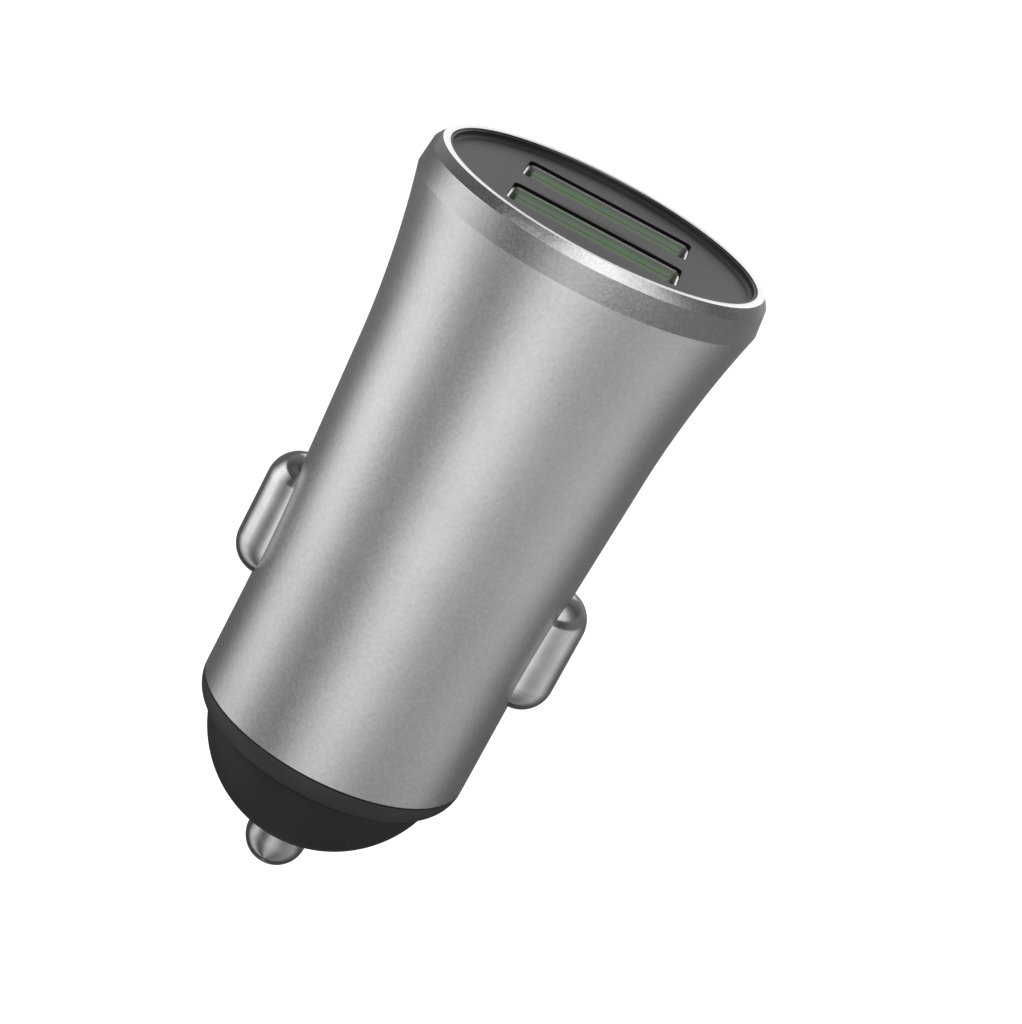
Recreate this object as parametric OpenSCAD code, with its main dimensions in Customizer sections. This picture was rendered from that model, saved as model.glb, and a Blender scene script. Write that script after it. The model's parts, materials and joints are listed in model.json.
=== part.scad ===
// A metal car charger: a flared aluminium body with two charging ports in its head,
// two sprung ground contacts at its sides and a sprung centre pin in a black nose.
// Z runs along the plug with the head up. Z = 0 is the lower edge of the metal body,
// X runs through both ground contacts, and the ports' long sides lie along X.

/* [Body shell] */
// Diameter of the straight stretch that slides into the socket
body_d = 21; // [20.6:0.1:21.6]
// Height of the straight stretch above the lower edge
straight_h = 7; // [6:0.1:7.2]
// Radius of the gentle arc that leads from the straight stretch into the taper
swell_r = 190; // [160:5:220]
// Half angle of the tapered middle, in degrees
taper_a = 2.8; // [2.5:0.1:3.1]
// Height of the tapered middle
taper_h = 11.2; // [10:0.1:12.5]
// Radius of the hollow arc that flares out to the head
flare_r = 75; // [66:1:90]
// Height of the flare
flare_h = 13.2; // [12.4:0.1:14]
// Height of the blasted band above the widest edge
band_h = 1.8; // [1.2:0.1:2.4]
// How far the band leans in from bottom to top
band_in = 0.23; // [0:0.01:0.4]
// Height of the polished chamfer above the band
chamfer_h = 0.7; // [0.4:0.05:1]
// Width of that chamfer, seen from above
chamfer_w = 0.48; // [0.3:0.02:0.7]
// Width of the flat lip round the mouth
lip_w = 0.55; // [0.4:0.05:1]
// Wall of the body, measured across the axis
shell_wall = 1; // [0.8:0.05:1.2]
// Chamfer on the lower edge of the body
edge_cut = 0.15; // [0.05:0.05:0.3]

/* [Face plate] */
// Depth of the plate's seat below the lip
seat_drop = 4; // [3.4:0.1:4.6]
// Width of the ledge that the plate's skirt rests on
ledge_w = 0.7; // [0.4:0.05:0.9]
// Depth of the plate's floor below the lip
floor_drop = 0.58; // [0.4:0.02:0.8]
// Depth of the plate's outer edge below the lip
border_drop = 0.1; // [0:0.02:0.15]
// Width of the plate's raised border
border_w = 0.2; // [0.1:0.05:0.4]
// Radius of the cove between border and floor
cove_r = 0.3; // [0.2:0.02:0.3]
// Thickness of the plate
plate_t = 1.5; // [1.2:0.1:2]
// Wall of the plate's skirt
skirt_t = 0.9; // [0.7:0.05:1]
// Thickness of the thin web round each port opening
web_t = 0.25; // [0.2:0.05:0.4]

/* [Charging ports] */
// Distance between the middles of the two ports
port_pitch = 8.15; // [7.8:0.05:8.4]
// Length of a port's opening
port_w = 12.5; // [12.4:0.05:12.6]
// Width of a port's opening
port_d = 5.12; // [5.02:0.02:5.22]
// Sheet of a port's metal shell
port_sheet = 0.3; // [0.25:0.05:0.35]
// Outer corner radius of a port's metal shell
port_corner = 0.7; // [0.5:0.05:0.8]
// How much of the metal sheet shows round the opening
port_reveal = 0.2; // [0.1:0.02:0.24]
// Gap between the tongue and each short wall of the shell
tongue_in = 0.4; // [0.3:0.05:0.75]
// Thickness of the tongue
tongue_t = 1.84; // [1.79:0.01:1.9]
// Depth of the tongue's end below the shell's edge
tongue_drop = 0.06; // [0.02:0.02:0.4]
// Height of the block that carries the tongue
block_h = 4; // [3:0.1:5]
// Distance of the inner terminals from the middle
pin_near = 1; // [0.9:0.05:1.1]
// Distance of the outer terminals from the middle
pin_far = 3.5; // [3.4:0.05:3.6]
// Width of a terminal
strip_w = 1; // [0.9:0.05:1.1]
// Thickness of a terminal
strip_t = 0.22; // [0.18:0.02:0.26]
// How far a terminal's bow stands out of the tongue
bow_out = 0.3; // [0.2:0.02:0.4]
// Width of a terminal's solder tail
tail_w = 0.6; // [0.5:0.05:0.7]
// Depth of a terminal's end below the tongue's end
strip_drop = 1.2; // [1:0.1:1.6]
// Width of the legs that hold a port's shell in the board
leg_w = 1.5; // [1.2:0.1:1.6]
// Width of the spring windows in a port's shell
window_w = 1.9; // [1.6:0.1:2.2]
// Height of the spring windows in a port's shell
window_h = 4.6; // [4:0.1:5.2]
// Depth of the spring windows below the shell's edge
window_drop = 3; // [2.5:0.1:3.4]

/* [Circuit boards] */
// Thickness of both boards
board_t = 1.2; // [1:0.1:1.4]
// How far the round board under the ports stands out over the inner frame
board_overhang = 0.25; // [0.05:0.05:0.5]
// Height of the upright board's wide upper part
board_head_h = 7.2; // [6.9:0.1:7.4]
// Length of solder tails and tabs past a board
tail_out = 0.8; // [0.5:0.1:1]
// Width of the upright board's two tabs
tab_w = 2.4; // [2:0.1:3]
// Distance of the tabs from the middle
tab_place = 5; // [4.6:0.1:5.6]
// Gap between the upright board's stem and the contact pockets
stem_gap = 0.2; // [0.1:0.05:0.5]
// Gap round whatever passes through a board
board_gap = 0.1; // [0.06:0.01:0.14]

/* [Inner frame] */
// Wall of the inner frame
frame_wall = 1; // [0.8:0.05:1.1]
// Height of the frame's upper edge, where the round board rests
frame_top = 27.2; // [27:0.1:27.6]
// Thickness of the frame's bottom deck
deck_t = 1; // [0.8:0.1:1.2]
// Wall round the pockets of the ground contacts
pocket_wall = 0.6; // [0.5:0.05:0.7]
// Wall left outside the grooves that hold the upright board
groove_wall = 0.75; // [0.6:0.05:0.9]

/* [Ground contacts] */
// Height of the contacts' middle above the body's lower edge
contact_z = 12.7; // [12.7:0.05:13]
// Length of a contact
contact_l = 9.9; // [9.4:0.1:10.3]
// Width of a contact
contact_w = 5; // [4.8:0.1:5.2]
// Width of the flat strip along a contact's rounded outside
contact_flat = 0.1; // [0.1:0.1:0.6]
// How far a contact stands out of the body's straight stretch
contact_out = 2.25; // [2.2:0.05:2.5]
// Inward travel of a contact
contact_travel = 2.2; // [1.6:0.1:2.2]
// Sheet of a contact
contact_sheet = 0.5; // [0.4:0.05:0.5]
// Width of the flange that keeps a contact in
flange_w = 0.9; // [0.7:0.05:1]
// Depth of the flange's stop behind the inner frame's outside
stop_in = 1.25; // [1.15:0.01:1.3]
// Thickness of the metal tabs behind the contact springs
seat_tab_t = 0.3; // [0.2:0.02:0.3]
// Width of those tabs
seat_tab_w = 3.6; // [3:0.1:4.4]
// Height of those tabs
seat_tab_h = 4.4; // [3.4:0.1:5]
// Length of their solder tails along the upright board
seat_tail_l = 2; // [1.6:0.1:2.2]
// Height of their solder tails
seat_tail_h = 1.6; // [1.2:0.1:1.8]
// Mean radius of a contact spring
side_spring_r = 1.05; // [0.9:0.05:1.1]
// Wire of a contact spring
side_wire_d = 0.4; // [0.3:0.02:0.44]
// Turns of a contact spring
side_turns = 7; // [6:1:8]

/* [Nose] */
// How much smaller the dome's radius is than the body's
dome_in = 1.12; // [0.9:0.02:1.3]
// Wall of the dome
dome_wall = 1.4; // [1.1:0.1:1.6]
// Height of the dome's inner floor above its lowest point
dome_floor_h = 2.18; // [2:0.02:2.6]
// Height of the collar between body and dome
collar_h = 2.05; // [1.8:0.05:2.2]
// Radius of the collar's rounded outer corner
collar_round = 2.25; // [2.21:0.01:2.6]
// Wall of the collar's spigot inside the body
spigot_t = 1; // [0.8:0.05:1.1]
// Height of the spigot, where the inner frame rests
spigot_h = 3.2; // [3:0.1:3.6]
// Height of the dome's skirt inside the collar
cap_skirt_h = 3; // [2.5:0.1:3.4]
// Wall of the dome's skirt
cap_skirt_t = 1; // [0.8:0.1:1.2]

/* [Centre pin] */
// Diameter of the pin
pin_d = 4.66; // [4.4:0.02:4.8]
// How far the pin stands out of the dome
pin_out = 3.12; // [3.1:0.01:3.4]
// Upward travel of the pin
pin_travel = 3; // [2.5:0.1:3.1]
// Diameter of the pin's flange
pin_flange_d = 6.8; // [6.4:0.1:7.2]
// Thickness of the pin's flange
pin_flange_t = 1; // [0.8:0.1:1.2]
// Diameter of the spigot that centres the spring
pin_spigot_d = 2.9; // [2.6:0.1:3]
// Height of the spring's spigot
pin_spigot_h = 1.6; // [1.2:0.1:2]
// Mean radius of the pin's spring
pin_spring_r = 1.95; // [1.9:0.05:2.1]
// Wire of the pin's spring
pin_wire_d = 0.6; // [0.5:0.02:0.64]
// Turns of the pin's spring
pin_turns = 8; // [7:1:9]
// Diameter of the metal disc that the pin's spring presses on
terminal_d = 6.4; // [5.8:0.1:7]
// Sheet of that disc and its two prongs
terminal_t = 0.4; // [0.3:0.02:0.5]
// Width of the prongs
prong_w = 2.4; // [2:0.1:2.8]
// Length of the prongs along the upright board
prong_h = 2.2; // [1.6:0.1:2.4]

/* [Clearances] */
// Gap between pieces that are pressed or snapped together
snug_gap = 0.03; // [0.02:0.01:0.06]
// Gap round pieces that slide
slide_gap = 0.08; // [0.06:0.01:0.1]
// Gap between the inner frame and the body
frame_gap = 0.15; // [0.1:0.01:0.2]
// Gap round a contact in its window
window_gap = 0.15; // [0.1:0.01:0.2]
// Gap between a flange and its stop
stop_gap = 0.05; // [0.03:0.01:0.08]

/* [Hidden] */

// Fineness of the turned surfaces, and of the body's very large arcs
fn_turned = 96;
fn_arc = 1440;
// How far cutters run past what they cut
past = 1;
// Gap left between neighbours on the upright board
part_gap = 0.05;

// Body: radii and heights of the outline, from the lower edge up
body_r = body_d / 2;
swell_h = swell_r * sin(taper_a);
taper_z = straight_h + swell_h;
taper_r = body_r + swell_r * (1 - cos(taper_a));
flare_z = taper_z + taper_h;
flare_start_r = taper_r + taper_h * tan(taper_a);
wide_z = flare_z + flare_h;
flare_end_a = asin(sin(taper_a) + flare_h / flare_r);
wide_r = flare_start_r + flare_r * (cos(taper_a) - cos(flare_end_a));
chamfer_z = wide_z + band_h;
lip_z = chamfer_z + chamfer_h;
lip_r = wide_r - band_in - chamfer_w;
mouth_r = lip_r - lip_w;
bore_r = body_r - shell_wall;
seat_z = lip_z - seat_drop;

// Face plate
plate_r = mouth_r - snug_gap;
floor_z = lip_z - floor_drop;
border_z = lip_z - border_drop;
plate_under_z = floor_z - plate_t;
skirt_r = plate_r - skirt_t;

// Boards, from the frame's upper edge up
port_board_z = frame_top;
port_board_top = port_board_z + board_t;
board_head_z = frame_top - board_head_h;

// Ports
port_top = floor_z - web_t;
port_outer_w = port_w + 2 * port_sheet;
port_outer_d = port_d + 2 * port_sheet;
port_slot_w = port_w + 2 * port_reveal;
port_slot_d = port_d + 2 * port_reveal;
tongue_w = port_w - 2 * tongue_in;
tongue_top = port_top - tongue_drop;
block_top = port_board_top + block_h;
tail_z = port_board_z - tail_out;
window_z = port_top - window_drop - window_h;
strip_top = tongue_top - strip_drop;
terminal_xs = [-pin_far, -pin_near, pin_near, pin_far];

// Components on the upright board: chips, passive pieces, coil, diode, fuse and cans
chip_leg_t = 0.2;
chip_leg_w = 0.38;
converter_w = 3.9;
converter_l = 4.9;
converter_h = 1.5;
converter_pitch = 1.27;
converter_span = 6;
charge_w = 1.6;
charge_l = 2.9;
charge_h = 1.1;
charge_pitch = 0.95;
charge_span = 2.8;
column_foot = 2.1;
block_small = [1.6, 0.8, 0.45];
block_flat = [2, 1.25, 0.5];
block_tall = [2, 1.25, 0.9];
coil_w = 7;
coil_h = 3;
coil_room = 0.8;
diode_l = 4.3;
diode_w = 3.6;
diode_h = 2.2;
fuse_l = 6.1;
fuse_w = 2.5;
can_w = 5;
can_h = 4.9;

// Nose
spigot_r = bore_r - snug_gap;
collar_bore_r = spigot_r - spigot_t;
cap_skirt_r = collar_bore_r - snug_gap;
dome_r = body_r - dome_in;
dome_in_r = dome_r - dome_wall;
dome_floor_z = dome_floor_h - dome_r;

// Inner frame
frame_r = bore_r - frame_gap;
frame_in_r = frame_r - frame_wall;
deck_top = spigot_h + deck_t;

// Ground contacts: the flange and the pocket behind each window
contact_reach = body_r + contact_out;
contact_round = (contact_w - contact_flat) / 2;
stop_x = frame_r - stop_in;
flange_out_x = stop_x - stop_gap;
flange_in_x = flange_out_x - contact_sheet;
tab_x = flange_in_x - contact_travel - stop_gap;
pocket_x = tab_x - seat_tab_t;
pocket_half_w = contact_w / 2 + flange_w + slide_gap;
pocket_half_l = contact_l / 2 + flange_w + slide_gap;

// Boards: what the inner frame leaves room for
port_board_r = frame_r + board_overhang;
board_head_r = frame_r - groove_wall;
board_stem_r = pocket_x - pocket_wall - stem_gap;

// Centre pin, from its tip up
pin_r = pin_d / 2;
pin_tip_z = -dome_r - pin_out;
pin_flange_z = dome_floor_z + stop_gap;
pin_flange_top = pin_flange_z + pin_flange_t;
terminal_z = spigot_h - terminal_t;

// Plain shapes that several pieces share

// A rectangle with round corners, about the origin
module rounded_rectangle(w, d, r) {
    square([w - 2 * r, d], center = true);
    square([w, d - 2 * r], center = true);
    for (x = [-1, 1], y = [-1, 1])
        translate([x * (w / 2 - r), y * (d / 2 - r)]) circle(r = r, $fn = 32);
}

// A straight slot outline with half-round ends, its length along Y
module slot_outline(w, l) {
    square([w, l - w], center = true);
    for (side = [-1, 1]) translate([0, side * (l - w) / 2]) circle(d = w, $fn = 64);
}

// A coil of round wire along Z from 0 to h, with a closed turn at each end
module coil(mean_r, wire_d, h, turns, sides, steps) {
    wire_r = wire_d / 2;
    closed_pitch = wire_d * 1.08;
    open_turns = turns - 2;
    open_pitch = (h - wire_d - 2 * closed_pitch) / open_turns;
    function rise(t) = wire_r + closed_pitch * min(t, 1)
        + open_pitch * max(0, min(t - 1, open_turns))
        + closed_pitch * max(0, t - 1 - open_turns);
    rings = turns * steps;
    points = [
        for (i = [0 : rings], j = [0 : sides - 1])
            let (a = 360 * i / steps, b = 360 * j / sides, r = mean_r + wire_r * cos(b))
            [r * cos(a), r * sin(a), rise(i / steps) + wire_r * sin(b)]
    ];
    sides_faces = [
        for (i = [0 : rings - 1], j = [0 : sides - 1])
            let (k = (j + 1) % sides, p = i * sides, q = p + sides)
            each [[p + j, p + k, q + k], [p + j, q + k, q + j]]
    ];
    end_faces = [
        [for (j = [sides - 1 : -1 : 0]) j],
        [for (j = [0 : sides - 1]) rings * sides + j],
    ];
    polyhedron(points, concat(sides_faces, end_faces), convexity = 10);
}

// Body shell

// Half outline of the body from the axis out, moved in by a wall's width and ended
// by the given points. The arcs run into the taper with a bite far too small to see.
module body_outline(inset, end_points) {
    bite = 0.0005;
    far_r = wide_r + past;
    difference() {
        polygon(concat(
            [[0, 0], [body_r - inset, 0], [body_r - inset, straight_h], [far_r, straight_h]],
            [[far_r, wide_z]], end_points
        ));
        translate([body_r + swell_r - inset - bite, straight_h]) circle(r = swell_r, $fn = fn_arc);
        polygon([
            [taper_r - inset, taper_z], [flare_start_r - inset, flare_z],
            [far_r + past, flare_z], [far_r + past, taper_z],
        ]);
        translate([
            flare_start_r + flare_r * cos(taper_a) - inset - bite,
            flare_z - flare_r * sin(taper_a),
        ]) circle(r = flare_r, $fn = fn_arc);
    }
}

// What is bored out of the body: the bore that follows the outside, the ledge and the mouth
module body_hollow() {
    translate([0, -past]) square([bore_r, 2 * past]);
    intersection() {
        body_outline(shell_wall, [[0, wide_z]]);
        square([mouth_r - ledge_w, seat_z]);
    }
    translate([0, seat_z]) square([mouth_r, seat_drop + past]);
}

module body_shell() {
    rim_points = [[wide_r, wide_z], [wide_r - band_in, chamfer_z], [lip_r, lip_z], [0, lip_z]];
    color("silver") difference() {
        rotate_extrude($fn = 180) difference() {
            body_outline(0, rim_points);
            body_hollow();
            polygon([
                [body_r - edge_cut, 0], [body_r, edge_cut], [body_r + past, edge_cut],
                [body_r + past, -past], [body_r - edge_cut, -past],
            ]);
        }
        for (side = [-1, 1]) contact_window(side);
    }
}

// The opening that a ground contact passes through, in body and frame
module contact_window(side) {
    toward(side) translate([stop_x - past, 0, 0]) rotate([90, 0, 90])
        linear_extrude(contact_reach)
        slot_outline(contact_w + 2 * window_gap, contact_l + 2 * window_gap);
}

// Puts what is drawn along +X at the height of the ground contacts, on either side
module toward(side) {
    translate([0, 0, contact_z]) rotate(side > 0 ? 0 : 180) children();
}

// Face plate

module face_plate() {
    dish_r = plate_r - border_w;
    color("dimgray") difference() {
        rotate_extrude($fn = fn_turned) difference() {
            union() {
                translate([0, plate_under_z]) square([plate_r, border_z - plate_under_z]);
                translate([skirt_r, seat_z]) square([skirt_t, plate_under_z - seat_z + cove_r]);
            }
            translate([0, floor_z]) square([dish_r - cove_r, floor_drop]);
            translate([0, floor_z + cove_r]) square([dish_r, floor_drop]);
            translate([dish_r - cove_r, floor_z + cove_r]) circle(r = cove_r, $fn = 64);
        }
        for (side = [-1, 1]) at_port(side) {
            translate([0, 0, plate_under_z - past]) linear_extrude(plate_t + 2 * past)
                rounded_rectangle(port_slot_w, port_slot_d, port_corner - port_sheet / 2);
            translate([0, 0, seat_z - past]) linear_extrude(port_top - seat_z + past)
                rounded_rectangle(
                    port_outer_w + 2 * snug_gap, port_outer_d + 2 * snug_gap,
                    port_corner + snug_gap
                );
        }
    }
}

// Charging ports: everything is drawn about the port's own axis

module at_port(side) {
    translate([0, side * port_pitch / 2, 0]) children();
}

// Folded metal shell, with two spring windows on each long side and a leg on each short one
module port_shell(side) {
    color("gainsboro") at_port(side) {
        difference() {
            translate([0, 0, port_board_top]) linear_extrude(port_top - port_board_top)
                rounded_rectangle(port_outer_w, port_outer_d, port_corner);
            translate([0, 0, port_board_top - past])
                linear_extrude(port_top - port_board_top + 2 * past)
                rounded_rectangle(port_w, port_d, port_corner - port_sheet);
            for (x = [-1, 1])
                translate([x * port_w / 4 - window_w / 2, -port_outer_d, window_z])
                    cube([window_w, 2 * port_outer_d, window_h]);
        }
        for (x = [-1, 1]) {
            port_leg(x);
            for (y = [-1, 1]) spring_finger(x * port_w / 4, y);
        }
    }
}

// A finger of the shell's sheet, bent a little into the opening
module spring_finger(x, y) {
    cut = 0.25;
    finger_w = window_w - 2 * cut;
    lean = 3.5;
    translate([x, y * (port_outer_d - port_sheet) / 2, window_z]) rotate([y * lean, 0, 0])
        translate([-finger_w / 2, -port_sheet / 2, -port_sheet / 2])
        cube([finger_w, port_sheet, window_h - 2 * cut]);
}

// A leg of the shell that is soldered into the round board
module port_leg(x) {
    translate([x * (port_outer_w - port_sheet) / 2 - port_sheet / 2, -leg_w / 2, tail_z])
        cube([port_sheet, leg_w, port_board_top - tail_z + past]);
}

// Moulded insert: a block that fills the shell's foot, and the tongue above it
module port_insert(side) {
    channel_w = strip_w + 2 * snug_gap;
    end_gap = 0.2;
    color("seagreen") at_port(side) difference() {
        union() {
            translate([0, 0, port_board_top]) linear_extrude(block_h)
                rounded_rectangle(
                    port_w - 2 * snug_gap, port_d - 2 * snug_gap, port_corner - port_sheet
                );
            translate([-tongue_w / 2, 0, block_top - past])
                cube([tongue_w, tongue_t, tongue_top - block_top + past]);
        }
        for (x = terminal_xs)
            translate([x - channel_w / 2, 0, port_board_top - past])
                cube([channel_w, strip_t + snug_gap, strip_top - port_board_top + past + end_gap]);
    }
}

// Four flat terminals in the tongue's channels, each with a bow near its end
module port_terminals(side) {
    bow_h = 2.4;
    bow_z = strip_top - 0.75 * bow_h;
    bow_r = (bow_out + bow_h * bow_h / 4 / bow_out) / 2;
    color("gold") at_port(side) for (x = terminal_xs) {
        translate([x - strip_w / 2, 0, port_board_top + snug_gap])
            cube([strip_w, strip_t, strip_top - port_board_top - snug_gap]);
        translate([x - tail_w / 2, 0, tail_z])
            cube([tail_w, strip_t, port_board_top - tail_z + past]);
        intersection() {
            translate([x - strip_w / 2, bow_r - bow_out, bow_z]) rotate([0, 90, 0])
                cylinder(r = bow_r, h = strip_w, $fn = 64);
            translate([x - strip_w, -2 * bow_out, bow_z - bow_h])
                cube([2 * strip_w, 2 * bow_out + strip_t, 2 * bow_h]);
        }
    }
}

// Circuit boards

// Round board under the ports, holed for their legs and tails and for the upright board
module port_board() {
    leg_place = (port_outer_w - port_sheet) / 2;
    hole_h = board_t + 2 * past;
    color("darkgreen") translate([0, 0, port_board_z]) difference() {
        cylinder(r = port_board_r, h = board_t, $fn = fn_turned);
        for (side = [-1, 1]) at_port(side) translate([0, 0, -past]) {
            for (x = terminal_xs) translate([x, strip_t / 2, 0])
                cylinder(d = tail_w + 2 * board_gap, h = hole_h, $fn = 24);
            for (x = [-1, 1]) translate([x * leg_place, 0, hole_h / 2])
                cube([port_sheet + 2 * board_gap, leg_w + 2 * board_gap, hole_h], center = true);
        }
        for (x = [-1, 1]) translate([x * tab_place, 0, board_t / 2])
            cube([tab_w + 2 * board_gap, board_t + 2 * board_gap, hole_h], center = true);
    }
}

// Upright board: a narrow stem between the contact pockets, a wide head and two tabs
module power_board() {
    head = board_head_r;
    stem = board_stem_r;
    color("darkgreen") rotate([90, 0, 0]) linear_extrude(board_t, center = true) {
        polygon([
            [-stem, deck_top], [stem, deck_top], [stem, board_head_z], [head, board_head_z],
            [head, frame_top], [-head, frame_top], [-head, board_head_z], [-stem, board_head_z],
        ]);
        for (x = [-1, 1]) translate([x * tab_place - tab_w / 2, frame_top - past])
            square([tab_w, past + board_t + tail_out]);
    }
}

// What stands on the upright board is drawn with its foot on the face at Y = 0
module on_board(side, x, z) {
    translate([x, side * board_t / 2, z]) rotate(side > 0 ? 0 : 180) children();
}

// A moulded chip with a row of bent legs along each long side
module leaded_chip(w, l, h, leg_count, leg_pitch, span) {
    foot = chip_leg_t;
    leg_wide = chip_leg_w;
    translate([-w / 2, foot / 2, -l / 2]) cube([w, h - foot / 2, l]);
    for (i = [0 : leg_count - 1], side = [-1, 1]) {
        z = (i - (leg_count - 1) / 2) * leg_pitch;
        translate([side * (w + span) / 4, foot / 2, z])
            cube([(span - w) / 2, foot, leg_wide], center = true);
        translate([side * (w / 2 + foot / 2), h / 4, z])
            cube([foot, h / 2, leg_wide], center = true);
    }
}

// The converter stands below the solder tails of the ground tabs
module converter_chip() {
    color("black") on_board(-1, 0, contact_z - seat_tail_h / 2 - converter_l / 2 - part_gap)
        leaded_chip(converter_w, converter_l, converter_h, 4, converter_pitch, converter_span);
}

// The charge chip stands above them, on the other face
module charge_chip() {
    color("black") on_board(1, 0, contact_z + seat_tail_h / 2 + charge_l / 2 + part_gap)
        leaded_chip(charge_w, charge_l, charge_h, 3, charge_pitch, charge_span);
}

// Shielded coil: a square block with cut corners and a ring groove in its top
module power_inductor() {
    half = coil_w / 2;
    cut = 0.17 * coil_w;
    groove_r = 0.83 * half;
    groove_w = 0.4;
    groove_t = 0.3;
    color("dimgray") on_board(-1, 0, frame_top - coil_room - half) rotate([-90, 0, 0]) difference() {
        linear_extrude(coil_h) polygon([
            [-half + cut, -half], [half - cut, -half], [half, -half + cut], [half, half - cut],
            [half - cut, half], [-half + cut, half], [-half, half - cut], [-half, -half + cut],
        ]);
        translate([0, 0, coil_h - groove_t]) difference() {
            cylinder(r = groove_r, h = past, $fn = 48);
            translate([0, 0, -past]) cylinder(r = groove_r - groove_w, h = 3 * past, $fn = 48);
        }
    }
}

// Moulded diode with a bent lead at each end, below the coil
module catch_diode() {
    lead_w = 2;
    lead_out = 0.7;
    foot = 0.1;
    color("black") on_board(-1, 0, frame_top - 2 * coil_room - coil_w - diode_w / 2) {
        translate([-diode_l / 2, foot, -diode_w / 2]) cube([diode_l, diode_h - foot, diode_w]);
        for (side = [-1, 1]) translate([side * (diode_l + lead_out) / 2, diode_h / 4, 0])
            cube([lead_out, diode_h / 2, lead_w], center = true);
    }
}

// Square-bodied fuse with a metal cap at each end, above the terminal's prongs
module fuse() {
    cap_l = fuse_l / 6;
    step = 0.15;
    prong_room = 0.65;
    color("white") on_board(1, 0, deck_top + prong_h + prong_room + fuse_w / 2) {
        translate([-fuse_l / 2 + cap_l / 2, 0, -fuse_w / 2 + step])
            cube([fuse_l - cap_l, fuse_w - step, fuse_w - 2 * step]);
        for (side = [-1, 1]) translate([side * (fuse_l - cap_l) / 2, fuse_w / 2, 0])
            cube([cap_l, fuse_w, fuse_w], center = true);
    }
}

// Capacitor can on a square base, with a groove round its foot
module can_capacitor(side) {
    can_r = 0.49 * can_w;
    base_t = 0.8;
    groove_r = 0.55;
    groove_t = 0.25;
    groove_x = can_r + groove_r - groove_t;
    side_room = 0.6;
    top_room = 0.9;
    x = side * (side_room + can_w / 2);
    color("lightgray") on_board(1, x, frame_top - top_room - can_w / 2)
        rotate([-90, 0, 0]) {
            linear_extrude(base_t) square(can_w, center = true);
            translate([0, 0, base_t / 2]) rotate_extrude($fn = 64) difference() {
                square([can_r, can_h - base_t / 2]);
                translate([groove_x, base_t / 2 + groove_r]) circle(r = groove_r, $fn = 32);
            }
        }
}

// Small ceramic piece of the given length, width and height, with a metal cap at each end
module small_block(size) {
    l = size[0];
    w = size[1];
    h = size[2];
    cap = l / 5;
    step = 0.04;
    translate([-l / 2 + cap / 2, 0, -w / 2]) cube([l - cap, h - step, w]);
    for (side = [-1, 1]) translate([side * (l - cap) / 2, h / 2, 0])
        cube([cap, h, w + step], center = true);
}

// Three in a column beside the charge chip, two between the converter and the diode
module chip_resistors() {
    column_x = 1.69 * block_small[0];
    column_pitch = 2 * block_small[1];
    pair_pitch = 1.3 * block_flat[0];
    pair_z = contact_z + seat_tail_h / 2 + block_flat[1] / 2 + 2 * part_gap;
    color("black") {
        for (i = [0 : 2]) on_board(1, -column_x, contact_z + column_foot + column_pitch * i)
            small_block(block_small);
        for (i = [0, 1]) on_board(-1, pair_pitch * i, pair_z) small_block(block_flat);
    }
}

// Three in a column on the chip's other side, two above the fuse
module chip_capacitors() {
    column_x = 1.4 * block_tall[0];
    column_pitch = 1.44 * block_tall[1];
    pair_x = 1.2 * block_tall[0];
    pair_z = contact_z - seat_tail_h / 2 - block_tall[1] / 2 - 0.6;
    color("tan") {
        for (i = [0 : 2]) on_board(1, column_x, contact_z + column_foot + column_pitch * i)
            small_block(block_tall);
        for (i = [-1, 1]) on_board(1, pair_x * i, pair_z) small_block(block_tall);
    }
}

// Inner frame: two half tubes that close round the upright board and the contacts

module frame_half(side) {
    color("whitesmoke") difference() {
        union() {
            translate([0, 0, spigot_h]) difference() {
                cylinder(r = frame_r, h = frame_top - spigot_h, $fn = fn_turned);
                translate([0, 0, deck_t])
                    cylinder(r = frame_in_r, h = frame_top, $fn = fn_turned);
            }
            for (x = [-1, 1]) toward(x) contact_pocket_walls();
        }
        for (x = [-1, 1]) {
            toward(x) translate([pocket_x, -pocket_half_w, -pocket_half_l])
                cube([stop_x - pocket_x, 2 * pocket_half_w, 2 * pocket_half_l]);
            toward(x) translate([0, 0, -seat_tail_h / 2 - snug_gap]) cube([
                pocket_x + past, board_t / 2 + seat_tab_t + snug_gap, seat_tail_h + 2 * snug_gap,
            ]);
            contact_window(x);
        }
        board_groove();
        prong_opening();
        translate([-body_r, side > 0 ? -2 * body_r : 0, 0])
            cube([2 * body_r, 2 * body_r, frame_top + past]);
    }
}

// Walls of a contact's pocket, trimmed to the tube's outside
module contact_pocket_walls() {
    wall = pocket_wall;
    intersection() {
        translate([pocket_x - wall, -pocket_half_w - wall, -pocket_half_l - wall])
            cube([frame_r, 2 * (pocket_half_w + wall), 2 * (pocket_half_l + wall)]);
        translate([0, 0, -pocket_half_l - past])
            cylinder(r = frame_r, h = 2 * (pocket_half_l + past), $fn = fn_turned);
    }
}

// Grooves for the upright board's wide head, and room for its thickness below
module board_groove() {
    half_t = board_t / 2 + snug_gap;
    half_w = board_head_r + snug_gap;
    translate([-half_w, -half_t, board_head_z - snug_gap])
        cube([2 * half_w, 2 * half_t, frame_top]);
}

// The hole in the deck that lets the terminal's prongs through
module prong_opening() {
    half_w = prong_w / 2 + slide_gap;
    half_d = board_t / 2 + terminal_t + slide_gap;
    translate([-half_w, -half_d, spigot_h - past])
        cube([2 * half_w, 2 * half_d, deck_t + 2 * past]);
}

// Ground contacts

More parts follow.
